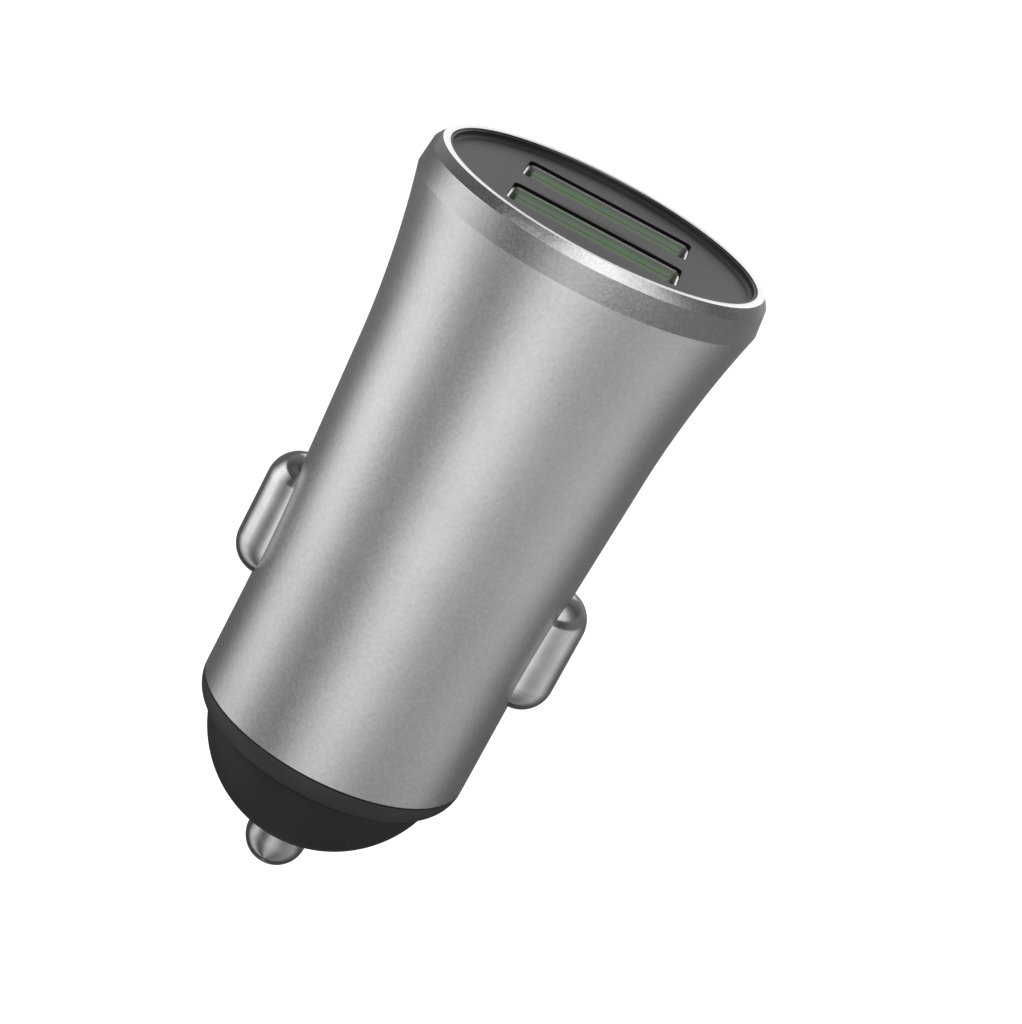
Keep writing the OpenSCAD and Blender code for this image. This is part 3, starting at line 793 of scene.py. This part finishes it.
@dataclass
class Part:
    """One sub-assembly, with the wardrobe that it is dressed from."""

    wardrobe: Wardrobe

    def settle(self, piece: Solid, node: str, body: Body, slot: str) -> None:
        """Dresses a finished piece, sets it on its body and lets it stand for its node.

        Args:
            piece: The mesh object.
            node: The CAD node that it stands for.
            body: The body that it rides on.
            slot: The record's slot of its finish.
        """
        piece.data.materials.clear()
        piece.data.materials.append(self.wardrobe.by_slot[slot])
        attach(piece, body.value)
        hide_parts(node)
        faces = len(piece.data.polygons)
        LOG.info("%s stands for %s on %s, %d faces", piece.name, node, body.value, faces)


@dataclass
class Shell(Part):
    """The flared body, turned from one bar, with a window for each ground contact."""

    radius: float = 10.5
    straight: float = 7
    swell: float = 190
    taper_angle: float = 2.8
    taper: float = 11.2
    flare: float = 75
    flare_height: float = 13.2
    band: float = 1.8
    band_in: float = 0.23
    chamfer: float = 0.7
    chamfer_width: float = 0.48
    lip: float = 0.55
    wall: float = 1
    seat_drop: float = 4
    ledge: float = 0.7
    ledge_sheet: float = 0.8
    edge_cut: float = 0.15
    edge: float = 0.05
    window_height: float = 12.7
    window_width: float = 5.3
    window_length: float = 10.2
    window_from: float = 7
    window_depth: float = 6
    margin: float = 0.007

    def outline(self, inset: float) -> Profile:
        """Follows the body's side from the end of the straight stretch to its widest edge.

        Args:
            inset: How far inside the outer surface the line runs.

        Returns:
            Radius and height of each ring.
        """
        tilt = math.radians(self.taper_angle)
        leaning = 180 - self.taper_angle
        swell_r = self.radius + self.swell
        flare_z = self.straight + self.swell * math.sin(tilt) + self.taper
        flare_r = swell_r - self.swell * math.cos(tilt) + self.taper * math.tan(tilt) - inset
        flare_end = math.degrees(math.asin(math.sin(tilt) + self.flare_height / self.flare))
        centre = (flare_r + self.flare * math.cos(tilt), flare_z - self.flare * math.sin(tilt))
        return [
            *arc((swell_r - inset, self.straight), self.swell, 180, leaning, steps=6),
            *arc(centre, self.flare, leaning, 180 - flare_end, steps=20),
        ]

    def build(self) -> None:
        """Turns the body, cuts its windows and dresses it."""
        outside = self.outline(self.margin)
        wide_r, wide_z = outside[-1]
        band_r, band_z = wide_r - self.band_in, wide_z + self.band
        lip_r, lip_z = band_r - self.chamfer_width, band_z + self.chamfer
        mouth_r, seat_z = lip_r - self.lip, lip_z - self.seat_drop
        ledge_r, foot_r = mouth_r - self.ledge, self.radius - self.edge_cut
        bore = [(r, z) for r, z in self.outline(self.wall) if z < seat_z and r < ledge_r]
        profile: Profile = [
            (foot_r, 0),
            (self.radius, self.edge_cut),
            *outside,
            (band_r, band_z),
            (lip_r, lip_z),
            (mouth_r, lip_z),
            (mouth_r, seat_z),
            (ledge_r, seat_z),
            (ledge_r, bore[-1][1] + self.ledge_sheet),
            *reversed(bore),
            (self.radius - self.wall, 0),
            (foot_r, 0),
        ]
        piece = Bench.turn("body_of_metal", profile)
        cutter = self.window_cutter()
        Bench.cut(piece, Bench.copy(cutter, "left_window_cutter", turned=True))
        Bench.cut(piece, cutter)
        Bench.break_edges(piece, self.edge)
        self.settle(piece, "body_shell", Body.PLUG, "anodised_shell")

    def window_cutter(self) -> Solid:
        """Makes the pill-shaped solid that is cut out for the contact on the right.

        Returns:
            The solid.
        """
        Bench.clear()
        bpy.ops.mesh.primitive_circle_add(
            vertices=96, radius=self.window_width / 2 * MM, fill_type="NGON"
        )
        cutter = Bench.put(Bench.named("window_cutter"), x=self.window_from, angles=(0, 90, 0))
        Bench.stretch(cutter, self.window_length - self.window_width)
        Bench.open_edit(cutter)
        Bench.extrude(x=self.window_depth)
        Bench.close_edit()
        return Bench.put(cutter, z=self.window_height)


@dataclass
class Face(Part):
    """The dark plate in the mouth, with a dished floor and two openings."""

    radius: float = 11.816
    top: float = 43.08
    floor: float = 42.6
    floor_ring: float = 6
    border: float = 0.2
    cove: float = 0.3
    seat: float = 39.18
    under: float = 41.1
    skirt: float = 0.9
    port_pitch: float = 8.15
    slot_width: float = 12.9
    slot_depth: float = 5.52
    slot_corner: float = 0.55
    slot_bead: float = 0.2
    slot_bead_height: float = 0.22
    edge: float = 0.04

    def build(self) -> None:
        """Turns the plate, cuts its openings and dresses it."""
        dish, skirt_in = self.radius - self.border, self.radius - self.skirt
        cove = arc((dish - self.cove, self.floor + self.cove), self.cove, 0, -90, steps=6)
        upper: Profile = [
            (self.radius, self.seat),
            (self.radius, self.top),
            (dish, self.top),
            *cove,
            (self.floor_ring, self.floor),
            (0, self.floor),
        ]
        under: Profile = [
            (self.radius, self.seat),
            (skirt_in, self.seat),
            (skirt_in, self.under),
            (self.floor_ring, self.under),
            (0, self.under),
        ]
        halves = [Bench.turn("face_plate_top", upper), Bench.turn("face_plate_under", under)]
        piece = Bench.join(halves, "face_of_plastic")
        Bench.open_edit(piece)
        Bench.close_edit()
        places = [(0, side.sign * self.port_pitch / 2) for side in (Side.FRONT, Side.REAR)]
        below_bead = (self.slot_depth, self.floor - self.slot_bead_height)
        inside_bead = (self.slot_depth - 2 * self.slot_bead, self.top + PAST)
        for depth, high in (below_bead, inside_bead):
            low = self.under - PAST
            cutter = Bench.slab("slot_cutter", self.slot_width, depth, self.slot_corner, low, high)
            Bench.cut_each(piece, cutter, places)
        Bench.break_edges(piece, self.edge, angle=35)
        self.settle(piece, "face_plate", Body.PLUG, "face_plastic")


@dataclass
class Ports(Part):
    """The two charging ports: folded metal shells, tongues and terminals."""

    pitch: float = 8.15
    width: float = 12.5
    depth: float = 5.12
    sheet: float = 0.3
    corner: float = 0.7
    top: float = 42.35
    foot: float = 28.4
    shell_edge: float = 0.09
    window_width: float = 1.9
    window_low: float = 7.6
    window_high: float = 3
    finger_width: float = 1.4
    finger_length: float = 4.4
    finger_lean: float = 3.5
    leg_width: float = 1.5
    leg_lap: float = 0.5
    strip_edge: float = 0.05
    block: float = 4
    block_gap: float = 0.06
    block_edge: float = 0.04
    tongue_width: float = 11.7
    tongue_depth: float = 1.84
    tongue_drop: float = 0.06
    channel_over: float = 0.2
    terminal_places: tuple[float, ...] = (-3.5, -1, 1, 3.5)
    terminal_width: float = 1
    terminal_sheet: float = 0.22
    terminal_gap: float = 0.03
    terminal_drop: float = 1.2
    terminal_edge: float = 0.03
    bow: float = 0.3
    bow_length: float = 2.8
    bow_end: float = 0.4
    bow_steps: int = 8
    tail: float = 2
    tail_width: float = 0.6
    tail_lap: float = 0.1

    def build(self) -> None:
        """Models the pieces of one port about the axis, and sets them in at both places."""
        for model, word, node, slot in (
            (self.shell(), "port_sleeve", "port_shell", "port_steel"),
            (self.insert(), "port_tongue", "port_insert", "green_plastic"),
            (self.terminals(), "port_springs", "port_terminals", "contact_brass"),
        ):
            for side in (Side.FRONT, Side.REAR):
                piece = Bench.copy(model, f"{word}_{side.value}", y=side.sign * self.pitch / 2)
                self.settle(piece, f"{node}_{side.value}", Body.PLUG, slot)
            bpy.data.objects.remove(model)

    def shell(self) -> Solid:
        """Folds the metal shell, with two spring windows in each long side.

        Returns:
            The shell with its spring fingers and its legs.
        """
        width, depth = self.width + 2 * self.sheet, self.depth + 2 * self.sheet
        piece = Bench.slab("sleeve", width, depth, self.corner, self.foot, self.top)
        inner = self.corner - self.sheet
        hollow = Bench.slab("hollow", self.width, self.depth, inner, self.foot - PAST, self.top + PAST)
        Bench.cut(piece, hollow)
        low, high = self.top - self.window_low, self.top - self.window_high
        window = Bench.slab("window", self.window_width, 2 * self.depth, 0, low, high)
        Bench.cut_each(piece, window, [(-self.width / 4, 0), (self.width / 4, 0)])
        Bench.break_edges(piece, self.shell_edge, angle=40)
        finger, leg = self.finger(), self.leg()
        beside = Bench.copy(finger, "finger_beside", x=-self.width / 2)
        facing = [Bench.copy(one, "facing", turned=True) for one in (finger, beside, leg)]
        return Bench.join([piece, finger, beside, leg, *facing], "sleeve")

    def finger(self) -> Solid:
        """Makes the spring finger at the right in the rear side, bent a little inwards.

        Returns:
            The finger.
        """
        piece = Bench.slab("finger", self.finger_width, self.sheet, 0, 0, self.finger_length)
        Bench.break_edges(piece, self.strip_edge, angle=40)
        y, z = (self.depth + self.sheet) / 2, self.top - self.window_low
        return Bench.put(piece, self.width / 4, y, z, angles=(self.finger_lean, 0, 0))

    def leg(self) -> Solid:
        """Makes the shell's right leg, which goes down into the board.

        Returns:
            The leg.
        """
        low, high = self.foot - self.tail, self.foot + self.leg_lap
        piece = Bench.slab("leg", self.sheet, self.leg_width, 0, low, high)
        Bench.put(piece, x=(self.width + self.sheet) / 2)
        Bench.break_edges(piece, self.strip_edge, angle=40)
        return piece

    def insert(self) -> Solid:
        """Moulds the block and the tongue, with a channel for each terminal.

        Returns:
            The block with its tongue.
        """
        width, depth = self.width - self.block_gap, self.depth - self.block_gap
        high = self.foot + self.block
        block = Bench.slab("block", width, depth, self.corner - self.sheet, self.foot, high)
        end = self.top - self.tongue_drop
        tongue = Bench.slab("tongue", self.tongue_width, self.tongue_depth, 0, high - PAST, end)
        Bench.put(tongue, y=self.tongue_depth / 2)
        Bench.apply_modifier(block, "BOOLEAN", operation="UNION", object=tongue, solver="EXACT")
        bpy.data.objects.remove(tongue)
        width = self.terminal_width + 2 * self.terminal_gap
        depth = 2 * (self.terminal_sheet + self.terminal_gap)
        high = self.terminal_end + self.channel_over
        channel = Bench.slab("channel", width, depth, 0, self.foot - PAST, high)
        self.keep_rear(channel)
        Bench.cut_each(block, channel, [(x, 0) for x in self.terminal_places])
        Bench.break_edges(block, self.block_edge, angle=40)
        return block

    @property
    def terminal_end(self) -> float:
        """The height of the terminals' upper ends."""
        return self.top - self.tongue_drop - self.terminal_drop

    @staticmethod
    def keep_rear(piece: Solid) -> None:
        """Bisects a solid in the plane of X and Z, and keeps what lies behind it.

        Args:
            piece: The mesh object.
        """
        Bench.open_edit(piece)
        bpy.ops.mesh.bisect(plane_co=(0, 0, 0), plane_no=(0, 1, 0), use_fill=True, clear_inner=True)
        Bench.close_edit()

    def terminals(self) -> Solid:
        """Stamps one terminal and copies it to the four places.

        Returns:
            The four terminals as one piece.
        """
        terminal = self.terminal()
        row = [Bench.copy(terminal, "one_terminal", x=x) for x in self.terminal_places]
        bpy.data.objects.remove(terminal)
        return Bench.join(row, "terminals")

    def terminal(self) -> Solid:
        """Makes a terminal from a strip that is bowed towards the plug, with a tail below.

        Returns:
            The terminal.
        """
        low = self.foot + self.terminal_gap
        strip = Bench.slab("strip", self.terminal_width, self.terminal_sheet, 0, low, self.terminal_end)
        bow_low = self.terminal_end - self.bow_end - self.bow_length
        shares = [i / self.bow_steps for i in range(self.bow_steps + 1)]
        rings = [bow_low + self.bow_length * share for share in shares]
        Bench.open_edit(strip)
        for ring in rings:
            bpy.ops.mesh.select_all(action="SELECT")
            bpy.ops.mesh.bisect(plane_co=(0, 0, ring * MM), plane_no=(0, 0, 1))
        for share, ring in list(zip(shares, rings))[1:-1]:
            Bench.pick(strip, lambda place: abs(place.z - ring) < NEAR)
            Bench.shift(y=-self.bow * math.sin(math.pi * share))
        low, high = self.foot - self.tail, self.foot + self.tail_lap
        tail = Bench.slab("tail", self.tail_width, self.terminal_sheet, 0, low, high)
        piece = Bench.join([strip, tail], "terminal")
        Bench.put(piece, y=self.terminal_sheet / 2)
        Bench.break_edges(piece, self.terminal_edge, angle=40, segments=2)
        return piece


@dataclass
class GroundContacts(Part):
    """The two pressed contacts that spring out of the body's sides."""

    height: float = 12.7
    width: float = 5
    length: float = 9.9
    rounding: float = 2.45
    sheet: float = 0.5
    flange: float = 0.9
    back: float = 7.55
    reach: float = 12.75
    edge: float = 0.06

    def build(self) -> None:
        """Presses one contact, and sets it and its copy in their windows."""
        model = self.contact()
        for side, body in ((Side.LEFT, Body.LEFT), (Side.RIGHT, Body.RIGHT)):
            piece = Bench.copy(model, f"side_contact_{side.value}", turned=side is Side.LEFT)
            self.settle(piece, f"ground_contact_{side.value}", body, "contact_nickel")
        bpy.data.objects.remove(model)

    def contact(self) -> Solid:
        """Turns a hollow button and draws it apart into a pill, at the right of the body.

        Returns:
            The contact.
        """
        half, rise = self.width / 2, self.reach - self.back
        centre = (half - self.rounding, rise - self.rounding)
        profile: Profile = [
            *arc(centre, self.rounding - self.sheet, 90, 0, steps=10),
            (half - self.sheet, 0),
            (half + self.flange, 0),
            (half + self.flange, self.sheet),
            (half, self.sheet),
            *arc(centre, self.rounding, 0, 90, steps=18),
        ]
        piece = Bench.turn("contact", profile, sides=114)
        for top in (rise - self.sheet, rise):
            Bench.pick(piece, lambda place: abs(place.z - top) < NEAR)
            bpy.ops.mesh.edge_face_add()
        Bench.put(piece, angles=(0, 90, 0))
        Bench.stretch(piece, self.length - self.width, split=True)
        Bench.put(piece, x=self.back, z=self.height)
        Bench.open_edit(piece)
        Bench.close_edit()
        Bench.break_edges(piece, self.edge, angle=40)
        return piece


@dataclass
class Nose(Part):
    """The black collar, the dome and the round-ended pin."""

    body_radius: float = 10.5
    collar_height: float = 2.05
    collar_round: float = 2.25
    collar_bore: float = 8.47
    collar_edge: float = 0.05
    spigot: float = 9.47
    spigot_height: float = 3.2
    dome: float = 9.38
    dome_wall: float = 1.4
    dome_edge: float = 0.06
    skirt: float = 8.44
    skirt_wall: float = 1
    skirt_height: float = 3
    floor: float = -7.2
    hole: float = 2.41
    pin_radius: float = 2.33
    pin_tip: float = -12.499
    pin_flange: float = 3.4
    pin_flange_z: float = -7.15
    pin_flange_sheet: float = 1
    pin_spigot: float = 1.45
    pin_spigot_end: float = 1.44855
    pin_spigot_height: float = 1.6
    pin_edge: float = 0.08

    def build(self) -> None:
        """Turns the three pieces and dresses them."""
        self.collar()
        self.cap()
        self.pin()

    def collar(self) -> None:
        """Turns the ring between the body and the dome, with its spigot."""
        fall = math.degrees(math.asin(self.collar_height / self.collar_round))
        centre = (self.body_radius - self.collar_round, 0)
        profile: Profile = [
            (self.spigot, self.spigot_height),
            (self.spigot, 0),
            *arc(centre, self.collar_round, 0, -fall, steps=12),
            (self.collar_bore, -self.collar_height),
            (self.collar_bore, self.spigot_height),
            (self.spigot, self.spigot_height),
        ]
        piece = Bench.turn("nose_ring", profile)
        Bench.break_edges(piece, self.collar_edge, angle=30)
        self.settle(piece, "nose_collar", Body.PLUG, "collar_plastic")

    def cap(self) -> None:
        """Turns the dome, with the pin's hole and the skirt inside the collar."""
        top = -math.degrees(math.asin(self.collar_height / self.dome))
        bottom = -math.degrees(math.acos(self.hole / self.dome))
        inner, skirt_in = self.dome - self.dome_wall, self.skirt - self.skirt_wall
        low = -math.degrees(math.asin(-self.floor / inner))
        high = -math.degrees(math.acos(skirt_in / inner))
        profile: Profile = [
            (self.skirt, self.skirt_height),
            (self.skirt, -self.collar_height),
            *arc((0, 0), self.dome, top, bottom, steps=40),
            (self.hole, self.floor),
            *arc((0, 0), inner, low, high, steps=16),
            (skirt_in, self.skirt_height),
            (self.skirt, self.skirt_height),
        ]
        piece = Bench.turn("nose_dome", profile)
        Bench.break_edges(piece, self.dome_edge, angle=30)
        self.settle(piece, "nose_cap", Body.PLUG, "nose_plastic")

    def pin(self) -> None:
        """Turns the pin from its round end up to the spigot in its spring."""
        end = arc((0, self.pin_tip + self.pin_radius), self.pin_radius, -90, 0, steps=20)
        top = self.pin_flange_z + self.pin_flange_sheet
        spigot_end = top + self.pin_spigot_height
        profile: Profile = [
            (self.pin_spigot_end, spigot_end),
            (self.pin_spigot, top),
            (self.pin_flange, top),
            (self.pin_flange, self.pin_flange_z),
            (self.pin_radius, self.pin_flange_z),
            *reversed(end[1:]),
            (0, self.pin_tip),
        ]
        piece = Bench.turn("centre_contact", profile, sides=128)
        Bench.pick(piece, lambda place: place.z > spigot_end - NEAR)
        bpy.ops.mesh.edge_face_add()
        Bench.close_edit()
        Bench.break_edges(piece, self.pin_edge, angle=30)
        self.settle(piece, "centre_pin", Body.PIN, "contact_nickel")


@dataclass
class Springs(Part):
    """The three coil springs, wound at their free length; the real ones shorten as their contacts are
    pressed in.
    """

    closed_pitch: float = 1.08
    coil_steps: int = 24
    wire_sides: int = 12
    side_radius: float = 1.05
    side_wire: float = 0.4
    side_turns: int = 7
    side_length: float = 6.606
    side_seat: float = 5.3
    side_height: float = 12.7
    side_travel: float = 2.2
    pin_radius: float = 1.95
    pin_wire: float = 0.6
    pin_turns: int = 8
    pin_length: float = 8.95
    pin_seat: float = 2.8
    pin_travel: float = 3

    def build(self) -> None:
        """Winds the springs and sets each in its place."""
        coil = self.wind(self.side_radius, self.side_wire, self.side_length, self.side_turns)
        Bench.put(coil, x=self.side_seat, z=self.side_height, angles=(0, 90, 0))
        for side in (Side.LEFT, Side.RIGHT):
            piece = Bench.copy(coil, f"side_spring_{side.value}", turned=side is Side.LEFT)
            self.settle(piece, f"contact_spring_{side.value}", Body.PLUG, "spring_steel")
            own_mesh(piece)
        bpy.data.objects.remove(coil)
        piece = self.wind(self.pin_radius, self.pin_wire, self.pin_length, self.pin_turns)
        piece.name = "nose_spring"
        Bench.put(piece, z=self.pin_seat - self.pin_length)
        self.settle(piece, "pin_spring", Body.PLUG, "spring_steel")
        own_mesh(piece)

    def wind(self, radius: float, wire: float, length: float, turns: int) -> Solid:
        """Winds a spring up from the height 0, with a closed turn at each end.

        Args:
            radius: The wire's distance from the axis, at its middle.
            wire: The wire's diameter.
            length: The spring's free length.
            turns: How many turns it has in all.

        Returns:
            The spring.
        """
        closed = wire * self.closed_pitch
        open_pitch = (length - wire - 2 * closed) / (turns - 2)
        Bench.clear()
        bpy.ops.mesh.primitive_circle_add(vertices=self.wire_sides, radius=wire / 2 * MM)
        piece = Bench.put(Bench.named("coil"), x=radius, z=wire / 2, angles=(90, 0, 0))
        Bench.open_edit(piece)
        for i in range(turns * self.coil_steps):
            is_open = self.coil_steps <= i < (turns - 1) * self.coil_steps
            Bench.extrude(z=(open_pitch if is_open else closed) / self.coil_steps)
            bpy.ops.transform.rotate(
                value=-math.tau / self.coil_steps, orient_axis="Z", center_override=(0, 0, 0)
            )
        bpy.ops.mesh.select_all(action="SELECT")
        bpy.ops.mesh.fill_holes(sides=0)
        Bench.close_edit()
        Bench.smooth(piece)
        return piece


# The studio


@dataclass
class PhotoCamera:
    """The camera at the photograph's place, in millimetres and degrees."""

    place: Point = (0, -194.2, 87.2)
    pitch: float = 18.85
    turn: float = 1.178
    roll: float = 28.32
    lens: float = 101.43
    sensor: float = 36
    clip: tuple[float, float] = (5, 20000)

    def build(self) -> None:
        """Adds the camera and makes it the scene's own."""
        pitch, turn, roll = (math.radians(a) for a in (self.pitch, self.turn, self.roll))
        data = bpy.data.cameras.new("camera")
        data.lens = self.lens
        data.sensor_width = self.sensor
        data.clip_start, data.clip_end = (length * MM for length in self.clip)
        camera = bpy.data.objects.new("camera", data)
        bpy.context.scene.collection.objects.link(camera)
        camera.matrix_world = (
            Matrix.Translation(Vector(self.place) * MM)
            @ Matrix.Rotation(-turn, 4, "Z")
            @ Matrix.Rotation(math.pi / 2 - pitch, 4, "X")
            @ Matrix.Rotation(roll, 4, "Z")
        )
        bpy.context.scene.camera = camera


@dataclass
class LightTent:
    """A round light tent with brighter and darker lengths of cloth, which the metal mirrors.

    The camera looks through it. Azimuth 0 faces the camera and grows towards +X. The band
    lies above the sides and the top above the band. Each pair is a place and its brightness.
    """

    radius: float = 75
    height: float = 12
    side_stops: Stops = (
        (-180, 0.5), (-165, 0.24), (-150, 0.15), (-116, 0.15), (-101, 0.8), (-92, 1.28),
        (-73, 1.28), (-63, 0.8), (-52, 0.46), (-40, 0.3), (-27, 0.48), (-14, 1.1), (0, 1.36),
        (11, 1.15), (22, 0.84), (34, 0.59), (50, 0.53), (70, 0.66), (88, 0.74), (102, 0.43),
        (120, 0.17), (150, 0.17), (165, 0.3), (180, 0.5),
    )
    band_stops: Stops = (
        (-180, 0.35), (-150, 0.15), (-114, 0.15), (-100, 0.75), (-91, 1.3), (-74, 1.3),
        (-64, 0.95), (-52, 0.48), (-40, 0.13), (-28, 0.12), (-14, 0.53), (0, 0.7), (11, 0.44),
        (22, 0.15), (34, 0.1), (50, 0.12), (70, 0.18), (88, 0.2), (102, 0.2), (122, 0.2),
        (150, 0.3), (180, 0.35),
    )
    top_stops: Stops = (
        (-180, 0.86), (-173, 0.9), (-167, 1.15), (-158, 1.3), (-143, 0.25), (-100, 0.13),
        (-75, 0.1), (-62, 0.05), (-48, 0.04), (-35, 0.08), (-24, 0.26), (-12, 0.78), (0, 1.13),
        (12, 1.22), (24, 1.16), (35, 0.95), (48, 0.78), (62, 0.42), (75, 0.2), (90, 0.14),
        (100, 0.1), (143, 0.22), (158, 1.3), (167, 1.15), (173, 0.9), (180, 0.86),
    )
    fall_stops: Stops = (
        (-1, 0.36), (-0.75, 0.5), (-0.58, 0.68), (-0.47, 0.7), (-0.4, 0.77), (-0.33, 0.88),
        (-0.25, 0.98), (-0.2, 1), (1, 1),
    )
    band_edge: tuple[float, float] = (0.02, 0.14)
    top_edge: tuple[float, float] = (0.42, 0.52)

    @staticmethod
    def ramp(graph: Graph, value: Socket, stops: Stops) -> Socket:
        """Makes a brightness that changes along a scale.

        Args:
            graph: The node tree.
            value: Where on the scale a point lies, as a share from 0 to 1.
            stops: Places on the scale, each with its brightness. The last is its end, and
                it begins as far below 0.

        Returns:
            The brightness.
        """
        node = graph.node("ShaderNodeValToRGB", {"Fac": value})
        ramp = node.color_ramp
        ramp.elements.remove(ramp.elements[1])
        end = stops[-1][0]
        for i, (place, level) in enumerate(stops):
            share = place / end / 2 + 0.5
            element = ramp.elements.new(share) if i else ramp.elements[0]
            element.position = share
            element.color = (level / 2, level / 2, level / 2, 1)
        return graph.math("MULTIPLY", node.outputs["Color"], 2.0)

    def build(self) -> None:
        """Adds the tent's sphere with its cloth."""
        Bench.clear()
        bpy.ops.mesh.primitive_uv_sphere_add(
            segments=64, ring_count=32, radius=self.radius * MM, location=(0, 0, self.height * MM)
        )
        tent = Bench.named("light_tent")
        Bench.only(tent)
        bpy.ops.object.shade_smooth()
        tent.data.materials.append(self.cloth())
        tent.visible_camera = False
        tent.visible_diffuse = False
        tent.visible_shadow = False

    def cloth(self) -> Material:
        """Makes the glowing cloth.

        Returns:
            The material.
        """
        graph = Graph.of_material("tent_cloth")
        way = graph.node("ShaderNodeVectorMath", {0: graph.place}, operation="NORMALIZE").outputs[0]
        parts = graph.node("ShaderNodeSeparateXYZ", {0: way}).outputs
        turn = graph.math("ARCTAN2", parts["X"], graph.math("MULTIPLY", parts["Y"], -1.0))
        azimuth = graph.math("ADD", graph.math("MULTIPLY", turn, 1 / math.tau), 0.5)
        rise = graph.math("ADD", graph.math("MULTIPLY", parts["Z"], 0.5), 0.5)
        sides, band, top = (
            self.ramp(graph, azimuth, stops)
            for stops in (self.side_stops, self.band_stops, self.top_stops)
        )
        level = graph.math("MULTIPLY", sides, self.ramp(graph, rise, self.fall_stops))
        for edge, zone in ((self.band_edge, band), (self.top_edge, top)):
            share = graph.grade(parts["Z"], *edge)
            mixed = graph.node("ShaderNodeMix", {0: share, 2: level, 3: zone}, data_type="FLOAT")
            level = mixed.outputs[0]
        glow = graph.node("ShaderNodeEmission", {"Strength": level})
        graph.node("ShaderNodeOutputMaterial", {"Surface": glow.outputs[0]})
        return graph.owner


@dataclass
class Lamp:
    """A soft square lamp that faces the charger, in metres and watts."""

    name: str
    place: Point
    size: float
    power: float

    def build(self) -> None:
        """Adds the lamp."""
        data = bpy.data.lights.new(self.name, "AREA")
        data.shape = "SQUARE"
        data.size = self.size
        data.energy = self.power
        lamp = bpy.data.objects.new(self.name, data)
        bpy.context.scene.collection.objects.link(lamp)
        lamp.location = self.place
        lamp.rotation_euler = (-Vector(self.place)).to_track_quat("-Z", "Y").to_euler()
        lamp.visible_camera = False


@dataclass
class Studio:
    """The pale floor, the pale surroundings and the lamps."""

    floor_height: float = -160
    floor_half: float = 6000
    floor_tone: Colour = (0.92, 0.92, 0.92)
    floor_lift: float = 0.45
    world_level: float = 0.7
    lamps: tuple[Lamp, ...] = (
        Lamp("key_lamp", (-0.5, -0.5, 0.75), size=0.5, power=3.0),
        Lamp("fill_lamp", (0.6, 0.3, 0.7), size=0.6, power=1.6),
    )

    def build(self) -> None:
        """Adds the floor, the world and the lamps."""
        self.floor()
        self.world()
        for lamp in self.lamps:
            lamp.build()

    @staticmethod
    def seen(graph: Graph) -> Socket:
        """Tells camera, mirror and glass rays from the rest.

        Args:
            graph: The node tree.

        Returns:
            1 for those rays and 0 for the rest.
        """
        path = graph.node("ShaderNodeLightPath").outputs
        both = graph.math("MAXIMUM", path["Is Camera Ray"], path["Is Glossy Ray"])
        return graph.math("MAXIMUM", both, path["Is Transmission Ray"])

    def floor(self) -> None:
        """Adds the floor, which shows white and keeps the shadow."""
        Bench.clear()
        bpy.ops.mesh.primitive_plane_add(
            size=2 * self.floor_half * MM, location=(0, 0, self.floor_height * MM)
        )
        floor = Bench.named("floor")
        graph = Graph.of_material("pale_floor")
        matt = graph.node("ShaderNodeBsdfDiffuse", {"Color": (*self.floor_tone, 1)})
        lift = graph.math("MULTIPLY", self.seen(graph), self.floor_lift)
        glow = graph.node("ShaderNodeEmission", {"Strength": lift})
        both = graph.node("ShaderNodeAddShader", {0: matt.outputs[0], 1: glow.outputs[0]})
        graph.node("ShaderNodeOutputMaterial", {"Surface": both.outputs[0]})
        floor.data.materials.append(graph.owner)

    def world(self) -> None:
        """Lights everything evenly, at a plain level, and shows white behind."""
        graph = Graph(bpy.data.worlds.new("studio"))
        level = graph.grade(self.seen(graph), 0, 1, self.world_level, 1.0)
        sky = graph.node("ShaderNodeBackground", {"Strength": level, "Color": (1, 1, 1, 1)})
        graph.node("ShaderNodeOutputWorld", {"Surface": sky.outputs[0]})
        bpy.context.scene.world = graph.owner


def main() -> None:
    """Builds the charger and its studio."""
    logging.basicConfig(level=logging.INFO, format="%(name)s: %(message)s")
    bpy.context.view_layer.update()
    bpy.context.scene.view_settings.view_transform = "Standard"
    PhotoCamera().build()
    wardrobe = Wardrobe()
    wardrobe.dress_nodes()
    for part in (Shell, Face, Ports, GroundContacts, Nose, Springs):
        part(wardrobe).build()
    Studio().build()
    LightTent().build()
    Bench.clear()


if __name__ == "__main__":
    main()
